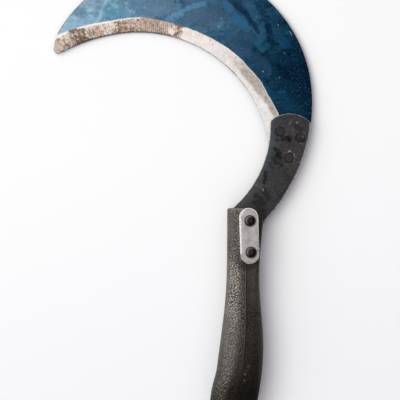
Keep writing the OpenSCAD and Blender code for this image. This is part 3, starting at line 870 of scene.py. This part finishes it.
STEEL_MARKS = [
    (227, 52.5, 232, 56.5, 2.4, "d0bcb1", 0.65), (211, 42, 215, 45, 2.6, "e6d8d8", 0.6),
    (244, 70, 246.5, 72, 2.0, "958b7e", 0.8), (249, 75.5, 252, 79, 1.7, "9d938a", 0.6),
    (264.5, 97, 266.5, 99.5, 1.2, "8a7f75", 0.8), (236, 63.5, 239, 67, 2.0, "b9b2a5", 0.6),
    (241.5, 80.6, 242.3, 81, 0.7, "b0b0ac", 0.8), (261.3, 116.4, 261.7, 116.6, 0.7, "868683", 0.9),
    (268.4, 114.2, 268.9, 114.5, 0.7, "8e8f8d", 0.8), (252, 95, 255.5, 102, 0.5, "a18a79", 0.9),
    (257.5, 106, 259.5, 111, 0.5, "a29d99", 0.8), (265.5, 121, 266, 122.5, 0.5, "a09f9a", 0.8),
    (210.3, 39.5, 210.8, 41, 0.8, "8f897f", 0.9), (212.4, 43.8, 212.8, 45, 0.8, "8a8379", 0.9),
    (222.3, 52, 223, 53, 0.5, "a39c90", 0.7), (191, 40, 194, 41, 0.7, "bfbab0", 0.7),
    (217, 54, 221, 57, 1.0, "cfc9c2", 0.6)]
RUST_MARKS = [
    (71.5, 33, 74, 44, 2.3, "6e5a52", 0.6), (69.5, 31, 76, 30, 1.5, "5f5248", 0.8),
    (81, 36, 84.5, 40, 1.7, "665846", 0.55), (89, 32, 95, 33.5, 2.2, "855a4e", 0.6),
    (95.5, 25, 99, 32, 2.0, "cba293", 0.55), (106.5, 25, 111, 24, 2.0, "ecdcd6", 0.65),
    (101, 25, 103, 31, 1.6, "ddd0c2", 0.6), (104.5, 28, 108, 29.5, 1.3, "85705f", 0.6),
    (119, 28.5, 133, 28.5, 2.2, "7c6358", 0.65), (124, 23, 131, 22.5, 1.6, "8e765f", 0.5),
    (137, 27, 138.5, 26.5, 1.1, "dcc7b0", 0.7), (144, 19.5, 146.5, 22, 1.5, "a1705f", 0.6),
    (64, 41, 66.5, 44.5, 1.4, "75665a", 0.75), (56, 46, 60, 43, 3.0, "cbbaac", 0.6),
    (72.5, 34, 73.5, 36, 0.9, "e2cfc6", 0.8), (86, 36.5, 88, 36, 0.9, "e0cdbf", 0.7),
    (86, 29, 93, 27.5, 1.2, "d9d6c6", 0.6), (170, 30.5, 173, 32, 2.8, "f6e6da", 1.0),
    (176, 23.5, 182, 26, 1.9, "80594d", 0.95), (175, 34, 180, 31.5, 2.2, "623c32", 1.0),
    (179, 27, 178.5, 31, 1.5, "6e483d", 0.9), (173.5, 26, 174.5, 28, 0.7, "f0e0d2", 0.8)]

# Along the ground steel, by degrees round its cone, with widths in centimetres: how pink it is, how free of
# rust, the width of the bright line under the lacquer plus 1 mm, how strong and how wide the brown stain is
# along the lacquer, and along the cutting edge how wide the dirt and painted shade are and how strong the
# darkened burr and its painted shade are
PINKNESS = [(12, 0.0), (24, 0.05), (36, 0.3), (46, 0.5), (56, 0.4), (64, 0.25), (71, 0.5)]
FRESHNESS = [
    (70, 0.75), (72.5, 0.75), (76, 0.8), (79, 0.55), (86, 0.62), (92, 0.55), (97, 0.5), (100, 0.66),
    (102.5, 0.75), (104, 0.45), (106, 0.6), (108.7, 0.66), (111, 0.45), (114.5, 0.4), (116, 0.75),
    (117.5, 0.62)]
BAND_WIDTH = [
    (70, 0.05), (86.5, 0.06), (88.5, 0.18), (93, 0.2), (99, 0.22), (103, 0.31), (109, 0.29),
    (112.6, 0.2), (113.6, 0.0), (115.8, 0.0), (116.6, 0.27), (120, 0.34)]
STAINED = [(12, 0.0), (19, 0.5), (24, 0.95), (30, 0.75), (36, 0.9), (42, 0.85), (45, 0.5), (49, 0.0)]
STAIN_WIDTH = [(12, 0.45), (26, 0.46), (30, 0.6), (33, 0.78), (42, 0.74), (49, 0.7)]
EDGE_DIRT_AND_SHADE = [
    (68, 0.06), (76, 0.09), (92, 0.12), (104, 0.12), (109, 0.16), (114, 0.18), (117, 0.12), (120, 0.04)]
BURRED_AND_SHADED = [(10, 0.1), (24, 0.25), (35, 0.5), (48, 0.85)]


def lacquer_tone(p, x, fray, blotch):
    """From the pale tip to the deep blue heel as a painted reflection of the lamp, with crumpled flats,
    clouds and wrinkles.
    """
    drift = p.warped((12.0, 5.0), (2.5, 1.2))
    # paler towards the tip: a painted reflection of the lamp on the lacquer
    tone = x * -4.9 + 0.53
    for *line, half, lift in SHADES:
        tone = tone + p.stroke(fray, line, half) * lift
    flats = p.facets(drift, 14.0, 2.2, 60) + p.facets(fray, 4.5, 1.6, 30) * 0.7
    tone = tone + (flats - 0.85) * p.step(x, -0.06, 0.09, 0.2, 0.1)
    tone = tone + p.sway(24, 4, 0.6, 0.8) * 0.16
    tone = tone + (blotch - 0.5) * p.step(x, -0.06, 0.09, 0.5, 0.24)
    return tone + p.step(abs(p.sway(15, 5, 0.55, 1.6)), 0.0, 0.03, 0.06, 0.0)


def lacquer_colour(p, x, rim, blotch):
    """The blue film: its tones, plain flats, bright thin runs, dark scorings, flecks and dust."""
    fray = p.warped((7.0, 1.4), (1.6, 1.0))
    colour = p.ramp(lacquer_tone(p, x, fray, blotch),
                    [(0.0, "001729"), (0.12, "06273b"), (0.26, "163f55"), (0.42, "32556c"),
                     (0.55, "48677d"), (0.78, "678b9f"), (1.0, "94b4c3")])
    teal = p.step(p.noise(7, 4, 0.6), 0.48, 0.62, 0.0, 0.6)
    colour = p.mix(teal, colour, (0.72, 1.04, 1.02, 1.0), "MULTIPLY")
    slate = p.step(p.noise(9, 4, 0.6, 0.5), 0.5, 0.64, 0.0, 0.6)
    colour = p.mix(slate, colour, (1.22, 0.94, 0.98, 1.0), "MULTIPLY")
    colour = p.marked(colour, fray, FLATS, core=0.6)
    grainy = p.step(p.noise(3, 4, 0.7), 0.3, 0.56, 0.4, 1.0)
    colour = p.marked(colour, fray, RUNS, core=0.5, grain=grainy)
    colour = p.marked(colour, fray, SCORES, core=0.6, grain=p.step(grainy, 0.3, 0.9, 0.65, 1.0))
    pale_fleck = p.step(p.noise(1.1, 3, 0.7), 0.58, 0.66) * p.step(x, -0.08, 0.05, 0.5, 0.1)
    colour = p.mix(pale_fleck, colour, "9dc3d2")
    dark_fleck = p.step(p.noise(1.3, 3, 0.7, 0.7), 0.55, 0.65) * p.step(x, -0.08, 0.0, 0.8, 0.4)
    colour = p.mix(dark_fleck, colour, (0.35, 0.42, 0.5, 1.0), "MULTIPLY")
    dust = p.spots(2.3, 0.06, 0.16) * p.step(p.noise(9, 3, 0.5), 0.53, 0.63)
    colour = p.mix(dust * p.step(x, 0.0, 0.08, 0.4, 0.1), colour, "8fa9b6")
    colour = p.marked(colour, p.place, GLINTS, core=0.5)
    brown = p.step(rim + p.noise(3, 4) * -0.8, -0.25, 0.3, 1.0, 0.0) * p.step(x, 0.07, -0.03)
    return p.mix(brown, colour, "6d655c")


def clean_steel(p, turn, bare, streak):
    """Ground steel without serration: off-white, pink and stained in places."""
    steel = p.mix(p.step(streak, 0.25, 0.75), "cbc9c4", "e0deda")
    steel = p.mix(p.step(p.noise(6, 5, 0.7), 0.5, 0.68, 0.0, 0.5), steel, "c6c1ba")
    pink = p.step(p.noise(6, 4, 0.6), 0.5, 0.62) * p.course(turn, 10, 75, PINKNESS)
    steel = p.mix(pink, steel, "d3bdb3")
    # the brown stain along the lacquer, with a thin bright line between the two
    reach = p.course(turn, 10, 75, STAIN_WIDTH) * 10.0 + 0.5
    inside = bare + p.sway(3, 5, 0.65) * 4.5 - reach
    stained = p.course(turn + p.sway(5, 4, 0.6) * 12.0, 10, 75, STAINED)
    stain = p.step(inside, -1.6, 0.7, 1.0, 0.0) * stained * p.step(bare, 0.3, 1.0, 0.35, 1.0)
    browns = p.mix(p.step(p.noise(2.2, 5, 0.7), 0.35, 0.65), "857c73", "aaa198")
    steel = p.mix(stain, steel, browns)
    steel = p.marked(steel, p.warped((3.0, 0.8), (1.0, 0.5)), STEEL_MARKS)
    pits = p.spots(1.6, 0.08, 0.26, 0.65) * p.step(p.noise(5, 2), 0.48, 0.58)
    steel = p.mix(pits, steel, "7d746c")
    # creamier and paler towards the serration
    return p.mix(p.step(turn, 50, 67), steel, (1.11, 1.09, 1.05, 1.0), "MULTIPLY")


def rusty_steel(p, turn, groove, bare, combed):
    """The serrated part: speckled from cream to dark brown."""
    shifted = turn + p.sway(4.5, 4, 0.7) * 8.0 + p.sway(1.6, 3, 0.6) * 5.0
    speckle = p.noise(1.9, 5, 0.7) * 0.55 + p.noise(2.4, 5, 0.75, 0.0, combed) * 0.45
    speckle = speckle + p.course(shifted, 68, 124, FRESHNESS) * 0.3 - 0.64
    rust = p.ramp(p.step(speckle, -0.16, 0.17),
                  [(0.0, "3f3229"), (0.2, "68574a"), (0.45, "9b8776"), (0.7, "c5b5a5"), (1.0, "ebe4da")])
    rust = p.mix(p.step(p.noise(6, 3, 0.6), 0.52, 0.66, 0.0, 0.4), rust, "bd8b7a", "SOFT_LIGHT")
    rust = p.mix(p.step(p.noise(4, 3, 0.6, 0.4), 0.52, 0.66, 0.0, 0.35), rust, "8f8a5e", "SOFT_LIGHT")
    rust = p.mix(p.step(shifted, 86, 91, 0.5, 0.0), rust, "a59080")
    spotty = p.step(p.noise(1.5, 4, 0.7), 0.3, 0.54, 0.45, 1.0)
    rust = p.marked(rust, p.warped((3.0, 1.4), (1.0, 0.7)), RUST_MARKS, core=0.5, grain=spotty)
    # painted shade down the middle of each groove
    rust = p.mix(p.step(groove, 0.6, 0.05, 0.0, 0.12), rust, "67564a")
    # the bright line under the lacquer: partly clean steel, partly a painted highlight along the bevel's
    # upper edge
    band = p.course(turn, 68, 124, BAND_WIDTH) * 10.0 - 1.0
    upper = bare + p.sway(2.5, 5) * 2.2 - band
    return p.mix(p.step(upper, -0.5, 0.4, 0.92, 0.0), rust, "eae8e6")


def edge_dirt_and_shade(p, steel, turn, edge):
    """Dark along the cutting edge, partly grime and a darkened wire edge, partly painted shade of the thin
    edge: patchy on the plain part, wider along the serration.
    """
    burr_and_shade = p.step(edge + p.noise(4, 4, 0.65) * -1.3, -0.4, 0.35, 1.0, 0.0)
    burr_and_shade = burr_and_shade * p.step(p.noise(7, 4, 0.7), 0.4, 0.56, 0.5, 1.0) * p.course(turn, 10, 75, BURRED_AND_SHADED)
    steel = p.mix(burr_and_shade, steel, "54473f")
    dirt_and_shade = edge + p.noise(3, 4) * 0.8 - p.course(turn, 68, 124, EDGE_DIRT_AND_SHADE) * 10.0
    return p.mix(p.step(dirt_and_shade, -0.1, 0.7, 0.95, 0.0) * p.step(turn, 72, 76), steel, "523f3b")


def blade_paint():
    p = Paint("lacquered_steel")
    bare, turn = p.value("bare"), p.value("turn")
    blotch = p.noise(2.6, 6, 0.75, 0.6)
    # places combed along the grinding marks
    round_cone = turn * (BEVEL_R * math.radians(1) * MM)
    combed = p.node("CombineXYZ", {0: round_cone, 1: bare * (0.35 * MM)}).outputs[0]
    streak = p.noise(2.0, 5, 0.7, 0.0, combed)
    serrated = p.step(turn + p.sway(3.5, 5, 0.7) * 7.0, 70.4, 71.8)
    clean = clean_steel(p, turn, bare, streak)
    rusty = rusty_steel(p, turn, p.value("groove"), bare, combed)
    steel = edge_dirt_and_shade(p, p.mix(serrated, clean, rusty), turn, p.value("edge"))
    is_bare = p.step(bare + p.sway(2.4, 5, 0.65) * 1.5, -0.25, 0.3)
    p.set(Base_Color=p.mix(is_bare, lacquer_colour(p, p.axis(0), p.value("rim"), blotch), steel))
    p.set(Metallic=p.step(is_bare, 0.0, 1.0, 0.12, 0.2))
    p.set(Specular_IOR_Level=p.step(is_bare, 0.0, 1.0, 0.01, 0.3))
    p.set(Roughness=is_bare * 0.14 + p.step(blotch, 0.3, 0.7, 0.34, 0.5))
    p.bump(p.noise(1.4, 5, 0.7) * 0.6 + streak * is_bare, 0.05)
    return p.owner


ARM_SMUDGES = [
    (284, 139.5, 289, 138.5, 3.0, "090a0b", 0.95), (288, 139.5, 289.5, 139.5, 2.0, "020202", 1.0),
    (276, 140.5, 278, 141, 1.2, "161719", 0.7), (296, 126, 300, 129, 2.8, "171717", 0.7),
    (297, 139, 302, 140.5, 1.8, "0e0e0e", 0.8), (295, 132, 297, 137, 1.3, "151515", 0.6),
    (275, 150, 279, 153, 2.4, "08090a", 0.95), (277, 155, 281, 158, 2.9, "050607", 0.95),
    (273, 158, 275, 162, 2.2, "0a0b0c", 0.9), (279, 163, 282, 166, 1.9, "0b0b0c", 0.85),
    (270, 164, 272, 169, 1.7, "17191a", 0.65), (276, 167, 279, 169, 1.4, "161718", 0.5),
    (266, 173, 264, 182, 2.4, "090a0b", 0.9), (257, 196, 262, 203, 3.4, "0d0e0f", 0.8),
    (263, 190, 268, 197, 3.0, "101011", 0.75), (254, 202, 258, 207, 2.8, "0e1011", 0.75),
    (262, 198, 266, 205, 2.4, "1a1a1b", 0.55), (285, 172, 289, 178, 2.0, "232020", 0.5)]
ARM_SCRATCHES = [
    (289, 124, 291, 119.5, 0.5, "8a8f93", 0.5), (255.5, 184.5, 262, 188, 0.5, "73777a", 0.5),
    (261.5, 188.5, 263.5, 190, 0.8, "85888a", 0.55), (297.5, 161, 303, 161.3, 0.5, "8c8886", 0.45),
    (281, 151.3, 282.5, 151.8, 0.6, "a3a09c", 0.6), (288.5, 151.5, 289.5, 151.5, 0.7, "b5b1ac", 0.7),
    (293, 154.5, 294.2, 158, 0.5, "8e8a86", 0.6), (280, 155, 283, 158, 0.5, "75716e", 0.4),
    (306, 134, 303, 138, 0.5, "9a9692", 0.25), (292.7, 128.8, 293.1, 129, 0.6, "a8a39c", 0.6),
    (296.5, 122.5, 296.8, 123, 0.6, "a8a39c", 0.6), (270, 121, 271.5, 120.5, 0.6, "7e7f80", 0.5),
    (286, 133.5, 287.5, 136, 0.5, "7c7a78", 0.4), (275.5, 136, 280, 137.4, 0.4, "6f6d6b", 0.4),
    (299.5, 143, 302, 144.5, 0.5, "6e6a67", 0.4), (252, 196, 250, 201, 0.5, "5d6266", 0.4)]
ARM_FACE = BLADE_T + ARM_T
# The middle of the arm's inner curve, and the arm's lower end
ARM_CURVE_PX, ARM_FOOT_PX = (160.8, 125.7), (250, 205)


def scale_colour(p, fine):
    """Blackened steel, blotched and hazed, and cooler near the inner edge."""
    colour = p.mix(p.step(p.noise(14, 5, 0.65, 0.5), 0.4, 0.6), "26292b", "312d2b")
    colour = p.mix(p.step(fine, 0.42, 0.75, 0.0, 0.6), colour, "514e4c")
    colour = p.mix(p.step(fine, 0.25, 0.5, 0.45, 0.0), colour, "151616")
    colour = p.mix(p.step(p.noise(4, 5, 0.75, 0.8), 0.54, 0.66, 0.0, 0.55), colour, "191a1a")
    inner = p.distance_to(px(*ARM_CURVE_PX), ARM_FACE) + p.noise(8, 3) * 6.0
    lower = p.step(p.distance_to(px(*ARM_FOOT_PX), ARM_FACE), 12.0, 34.0, 1.0, 0.0)
    colour = p.mix(p.step(inner, 87.0, 97.0, 0.7, 0.0), colour, p.mix(lower, "3f484d", "434647"))
    return p.mix(p.step(p.noise(5, 5, 0.7, 0.6), 0.5, 0.66, 0.0, 0.35), colour, "4a4f53")


def flush_rivet(p, colour, spot):
    """A dull head, a dark joint round it whose painted shadow makes it strongest at its lower left, and a
    broken pale ring.
    """
    away = p.distance_to(spot, ARM_FACE) + (p.noise(3, 3) * 1.6 - 0.8)
    colour = p.mix(p.step(away, 3.5, 4.3, 0.55, 0.0), colour, "231f1e")
    # painted shadow in the sunk joint: darkest away from the upper right
    lower = p.step(p.distance_to(spot + (2.2, 3.0), ARM_FACE), 3.0, 7.4, 0.15, 0.9)
    joint = p.step(away, 2.6, 3.7) - p.step(away, 3.9, 4.7)
    colour = p.mix(joint * lower, colour, "0b0a0a")
    ring = p.step(away, 3.9, 4.5) - p.step(away, 4.7, 5.6)
    return p.mix(ring * p.step(p.noise(2.2, 4, 0.7), 0.46, 0.62, 0.0, 0.35), colour, "6f6a67")


def forged_paint():
    p = Paint("forged_black")
    fine = p.noise(1.5, 6, 0.75)
    fray = p.warped((4.0, 2.4), (1.2, 1.6))
    broken = p.step(p.noise(1.5, 5, 0.75), 0.33, 0.48, 0.25, 1.0)
    colour = p.marked(scale_colour(p, fine), fray, ARM_SMUDGES, ARM_FACE, 0.45, broken)
    for spot in BLADE_RIVETS:
        colour = flush_rivet(p, colour, spot)
    colour = p.marked(colour, fray, ARM_SCRATCHES, ARM_FACE, 0.5)
    colour = p.mix(p.spots(3.1, 0.06, 0.15, 0.5) * p.step(p.noise(6, 2), 0.5, 0.6), colour, "827e79")
    # the outer edge, rubbed pale and partly a painted highlight along the edge
    inside = HEEL_R - p.distance_to(HEEL_C, ARM_FACE)
    rubbed_and_lit = p.step(inside + p.noise(4, 4, 0.6) * -1.4, -0.3, 0.5, 0.7, 0.0)
    colour = p.mix(rubbed_and_lit * p.step(p.above(ARM_FACE), -0.9, -0.4), colour, "a9a5a1")
    p.set(Base_Color=colour, Metallic=0.15, Specular_IOR_Level=0.12)
    p.set(Roughness=p.step(fine, 0.3, 0.7, 0.4, 0.6))
    p.bump(fine + p.noise(5, 4, 0.6), 0.16, 0.6)
    return p.owner


# Painted shade on the lower and right part of the front plate's rim
RIM_SHADE_MARKS = [
    (240.5, 256, 244, 262, 1.3, "6a6763", 0.75), (244, 262, 252, 263.6, 1.3, "57544f", 0.85),
    (252, 263.6, 258.5, 258, 1.4, "57544f", 0.85), (258.8, 256, 259.8, 218, 1.3, "6b6863", 0.85)]


def rubbed_paint(name, base, bright, marks=()):
    """Metal worn bare along an edge, under any marks given, such as painted shade on the plate's rim."""
    p = Paint(name)
    rub = p.noise(2.4, 5, 0.7)
    colour = p.mix(p.step(rub, 0.35, 0.65), base, bright)
    shade_breakup = p.step(p.noise(1.6, 4, 0.7), 0.34, 0.54, 0.3, 1.0)
    p.set(Base_Color=p.marked(colour, p.place, marks, MID_Z + PLATE_FACE_Z, 0.7, shade_breakup))
    p.set(Metallic=0.05, Roughness=p.step(rub, 0.3, 0.7, 0.55, 0.4))
    p.bump(rub, 0.05)
    return p.owner


# Down the grip, by millimetres below its top: where the painted lit left side ends, in centimetres left of
# the crest, then how pale it is, how pale the painted shaded rest is, and how strong the seam's painted
# highlight and the painted shadow line beside it are
LIT_SIDE_END = [
    (0, 0.0), (34, 0.1), (46, 0.42), (89, 0.47), (105, 0.53), (121, 0.62), (133, 0.7), (142, 0.84),
    (165, 1.2)]
LIT_SIDE_LEVEL = [
    (0, 0.48), (32, 0.56), (45, 0.95), (72, 1.08), (95, 0.6), (110, 0.4), (124, 0.42), (140, 0.36),
    (165, 0.28)]
SHADED_SIDE_LEVEL = [
    (0, 0.45), (40, 0.5), (50, 1.1), (85, 1.2), (105, 0.82), (121, 0.46), (133, 0.28), (142, 0.18),
    (165, 0.13)]
SEAM = [(0, 0.0), (40, 0.0), (44, 0.4), (90, 0.3), (120, 0.15), (135, 0.0)]
BESIDE_SEAM = [(0, 0.0), (46, 0.0), (50, 0.75), (95, 0.6), (130, 0.2)]
# The plate's lower end, round which a painted shadow of the plate darkens the grip
PLATE_FOOT_PX = (246.5, 259)
SCUFFS = [
    (257, 303, 260, 309, 0.6, "6d685f", 0.5), (256.5, 312, 259, 315, 0.5, "7d776d", 0.5),
    (248, 366, 248.4, 367, 1.1, "5f5a52", 0.6), (244.2, 373.8, 245.2, 374.4, 1.1, "6d675d", 0.6),
    (251, 377, 252, 377.4, 1.1, "5f5a52", 0.55), (243.6, 380.3, 244.4, 380.7, 1.0, "5f5a52", 0.5),
    (246, 370.5, 246.5, 371, 0.8, "5f5a52", 0.5), (249.5, 380, 250, 381, 0.8, "57524b", 0.5),
    (258, 326, 256, 331, 0.5, "645f57", 0.4), (254, 284, 257, 288, 0.5, "6d685f", 0.4),
    (247, 352, 250, 358, 0.5, "645f57", 0.4)]


def grip_top_lit_and_shaded(p, flank, down, beside):
    """Colour of the grain's tops: pale left of the crest as painted light, dark right of it as painted
    shade.
    """
    cloud = p.step(p.noise(12, 4), 0.35, 0.65)
    pale = p.mix(1.0, p.mix(cloud, "746f66", "8a857a"), p.course(down, 0, 165, LIT_SIDE_LEVEL), "MULTIPLY")
    dark = p.mix(cloud, "24211d", "2f2c27")
    dark = p.mix(p.step(flank, 1.5, 7.0, 0.0, 0.55), dark, "4a463f")
    dark = p.mix(p.step(p.noise(1.8, 5, 0.7), 0.42, 0.66, 0.0, 0.6), dark, "171511")
    rest = p.mix(p.step(flank, -1.2, -0.2), "49443e", dark)
    rest = p.mix(1.0, rest, p.course(down, 0, 165, SHADED_SIDE_LEVEL), "MULTIPLY")
    return p.mix(p.step(beside, -3.0, 1.2), pale, rest)


def pebble_highlights(p, top, dip, flank, down, beside):
    """Painted highlights on the tops of the pebbles left of the crest, most where they glint."""
    glint = p.step(p.noise(1.5, 3, 0.6), 0.5, 0.64) * p.step(beside, -9.0, -5.0)
    glint = glint * p.step(beside, -2.5, 0.5, 1.0, 0.25)
    peak = p.step(dip, 0.03, 0.12, 1.0, 0.0) * p.step(flank, -1.5, -0.5, 1.0, 0.0)
    peak = peak * p.step(down, 30, 54, 0.5, 1.0) * p.step(glint, 0.0, 1.0, 0.4, 1.0)
    return p.mix(peak, top, (2.5, 2.55, 2.6, 1.0), "MULTIPLY")


def seam_highlight_and_shadow(p, colour, flank, down):
    """The seam down the crest as a pale painted highlight, with a dark painted shadow line right of it."""
    beyond = p.step(flank, 0.2, 0.8) * p.step(flank, 1.0, 1.8, 1.0, 0.0)
    colour = p.mix(beyond * p.course(down, 0, 165, BESIDE_SEAM), colour, "151210")
    seam = p.step(abs(flank + 0.1), 0.3, 0.7, 1.0, 0.0) * p.course(down, 0, 165, SEAM)
    return p.mix(seam, colour, "68635a")


def grip_paint():
    p = Paint("moulded_grip")
    dip, flank, down = p.value("dip"), p.value("flank"), p.value("down")
    beside = flank + p.course(down, 0, 165, LIT_SIDE_END) * 10.0 + p.sway(5, 4) * 4.0
    top = pebble_highlights(p, grip_top_lit_and_shaded(p, flank, down, beside), dip, flank, down, beside)
    # painted shade along the far left edge of the grip
    top = p.mix(p.step(p.value("reach"), -0.98, -0.72, 0.5, 0.0), top, "2b2723")
    # dark between the pebbles as painted shade in the grain's hollows, except on the plain left flank
    plain = p.step(flank, -16.0, -10.0, 0.6, 0.0) * p.step(down, 105, 135, 1.0, 0.2)
    colour = p.mix(p.step(dip, 0.08, 0.36) * (1.0 - plain), top, "150f0b")
    colour = seam_highlight_and_shadow(p, colour, flank, down)
    colour = p.marked(colour, p.warped((2.5, 1.4), (0.8, 0.6)), SCUFFS, MID_Z + DEPTHS[2] / 2)
    colour = p.mix(p.step(p.noise(1.2, 5, 0.7), 0.55, 0.72, 0.0, 0.35), colour, "6d6a61")
    colour = p.mix(p.spots(5.5, 0.03, 0.08) * p.step(p.noise(16, 2), 0.52, 0.6), colour, "9a968c")
    # painted shadow of the plate on the grip round its lower end
    under_plate = p.distance_to(px(*PLATE_FOOT_PX), SEAT_Z + MID_Z)
    colour = p.mix(p.step(under_plate, 7.0, 11.0, 0.7, 0.0), colour, "14110e")
    p.set(Base_Color=colour, Specular_Tint=(1.0, 0.94, 0.88, 1.0))
    p.set(Roughness=p.step(p.noise(2, 4), 0.3, 0.7, 0.38, 0.5))
    p.set(Specular_IOR_Level=p.step(beside, -2.4, 4.0, 0.5, 0.14) * p.step(down, 118, 146, 1.0, 0.2))
    p.bump(p.noise(0.5, 4, 0.7), 0.04, 0.4)
    return p.owner


# On the front plate: a painted highlight along its left and top-left edge, darker right and lower edges
# that are partly pits and partly painted shade, a notch and rubbed marks
PLATE_MARKS_HIGHLIGHT_AND_SHADE = [
    (240.2, 217, 240.9, 254, 0.75, "f0efec", 0.6), (240.4, 217, 244, 210.5, 0.7, "f4f3f0", 0.6),
    (257.8, 251.3, 259.4, 251.8, 0.9, "2b2826", 0.9), (258.4, 221, 258.9, 228, 0.5, "55514d", 0.7),
    (258.7, 234, 258.9, 244, 0.45, "4d4946", 0.7), (247, 240, 252, 241.3, 0.5, "7d7975", 0.6),
    (244, 231, 246, 229, 0.5, "7d7975", 0.6), (243, 233, 244.5, 236, 0.6, "8a8682", 0.5),
    (259.2, 222, 259.5, 248, 0.5, "5f5b57", 0.6), (241.5, 256, 244, 260, 0.5, "5d5955", 0.7),
    (252, 216.5, 253, 217, 0.5, "77736f", 0.6), (246, 262, 252, 263.2, 0.5, "4f4b48", 0.7),
    (250, 214, 254, 213, 0.4, "8a8682", 0.5)]


def plate_paint():
    p = Paint("dull_plate")
    level = MID_Z + PLATE_FACE_Z
    cloud = p.noise(6, 5, 0.65)
    colour = p.mix(p.step(cloud, 0.35, 0.65), "928f8b", "aaa7a2")
    pits = p.step(p.noise(1.7, 5, 0.8, 0.5), 0.56, 0.7)
    colour = p.mix(pits * 0.55, colour, "6e6b68")
    colour = p.mix(p.step(p.noise(1.9, 4, 0.7), 0.55, 0.7, 0.0, 0.3), colour, "c4c1bc")
    colour = p.marked(colour, p.warped((2.0, 0.8), (0.8, 0.5)), PLATE_MARKS_HIGHLIGHT_AND_SHADE, level, 0.4)
    # a painted shadow round each rivet head, shifted to the lower right
    for spot in HANDLE_RIVETS:
        away = p.distance_to(spot + (0.3, -0.4), level)
        colour = p.mix(p.step(away, 4.2, 5.1, 0.85, 0.0), colour, "211e1d")
    p.set(Base_Color=colour, Metallic=0.2, Roughness=p.step(cloud, 0.3, 0.7, 0.5, 0.62))
    p.bump(p.noise(0.8, 4, 0.7) + pits, 0.08)
    return p.owner


def rivet_paint():
    p = Paint("blackened_rivet")
    wear = p.noise(1.6, 5, 0.7)
    colour = p.mix(p.step(wear, 0.4, 0.7), "070606", "151312")
    foot = MID_Z + PLATE_FACE_Z
    for spot in HANDLE_RIVETS:
        # a painted highlight on each head's upper left
        shine = p.distance_to(spot + (-2.3, 1.2), foot + RIVET_HEAD_H) + p.noise(1.6, 3) * 1.2
        colour = p.mix(p.step(shine, 1.2, 2.6, 0.5, 0.0), colour, "4d4945")
        away = p.distance_to(spot, foot + 1.5)
        # a painted crescent of highlight round the head's upper left
        facing = p.step(p.distance_to(spot + (2.2, -1.6), foot + 1.5), 3.2, 5.8, 0.0, 0.8)
        crescent = (p.step(away, 2.1, 2.6) - p.step(away, 3.2, 3.8)) * facing
        colour = p.mix(crescent, colour, "77706a")
        colour = p.mix(p.step(away, 1.4, 1.9, 0.6, 0.0), colour, "2a221e")
    p.set(Base_Color=colour, Metallic=0.1, Specular_IOR_Level=0.1)
    p.set(Roughness=p.step(wear, 0.3, 0.7, 0.3, 0.46))
    p.bump(wear, 0.06)
    return p.owner


def painted(thing, *paints):
    for paint in paints:
        thing.data.materials.append(paint)


painted(make_blade(), blade_paint())

forged = forged_paint()
painted(worn("arm_forging", "arm", 0.5), forged, rubbed_paint("arm_rim", "5c5b59", "bab7b2"))
for i in range(3):
    painted(make_blade_rivet(i, f"blade_rivet_{i + 1}_turned", f"blade_rivet_{i + 1}"), forged)

painted(make_handle(), grip_paint())

plate_metal = plate_paint()
plate_rim = rubbed_paint("plate_rim", "cfcdc8", "f6f5f3", RIM_SHADE_MARKS)
for name in ("front_plate", "back_plate"):
    painted(worn(name + "_pressed", name, 0.62), plate_metal, plate_rim)

black = rivet_paint()
for i, name in enumerate(("handle_rivet_upper", "handle_rivet_lower")):
    painted(make_handle_rivet(i, name + "_domed", name), black)


# Floor, light and camera

def make_floor():
    """A plain pale floor, a little greyer towards the picture's foot: painted shade where the light falls
    off.
    """
    half = 4.0
    corners = [(-half, -half, 0), (half, -half, 0), (half, half, 0), (-half, half, 0)]
    floor = linked("floor", new_mesh("floor", corners, [(0, 1, 2, 3)]))
    p = Paint("pale_floor")
    far_side = p.step(p.noise(300, 2) * 0.02 + p.axis(1), -0.17, 0.07)
    p.set(Base_Color=p.mix(far_side, "f2f3f2", "f8f9f6"), Roughness=0.9, Specular_IOR_Level=0.1)
    painted(floor, p.owner)


def make_lamp():
    """A broad soft lamp from the upper left, aimed at the middle."""
    place = Vector((-0.68, 0.22, 1.65))
    data = bpy.data.lights.new("key", "AREA")
    data.shape = "DISK"
    data.size = 1.5
    data.energy = 14.2
    data.color = (0.975, 1.024, 0.9)
    lamp = linked("key", data)
    lamp.location = place
    lamp.rotation_euler = (-place).to_track_quat("-Z", "Y").to_euler()


def make_world():
    """Soft light from all round, brightest overhead, dim at the horizon and stronger from the left."""
    p = Paint("studio", world=True)
    rising = [(0.0, 0.05), (0.35, 0.4), (0.72, 0.84), (0.86, 0.96), (0.98, 1.15)]
    height = p.course(p.axis(2), 0, 1, rising)
    p.set(Color=(1.0, 0.945, 1.06, 1.0), Strength=height * (p.axis(0) * -0.85 + 0.92))
    bpy.context.scene.world = p.owner


def make_camera():
    """Straight above, from so far away that nothing tapers, and with the photograph's frame."""
    distance = 5.0
    data = bpy.data.cameras.new("camera")
    data.sensor_width = 36.0
    data.lens = data.sensor_width * distance / (IMAGE_PX * PX * MM)
    data.clip_end = 50.0
    camera = linked("camera", data)
    aim = LIE @ Vector((*px(IMAGE_PX / 2, IMAGE_PX / 2), 4.0))
    camera.location = (aim.x, aim.y, distance)
    bpy.context.scene.camera = camera


make_floor()
make_world()
make_lamp()
make_camera()
bpy.context.scene.view_settings.view_transform = "Standard"
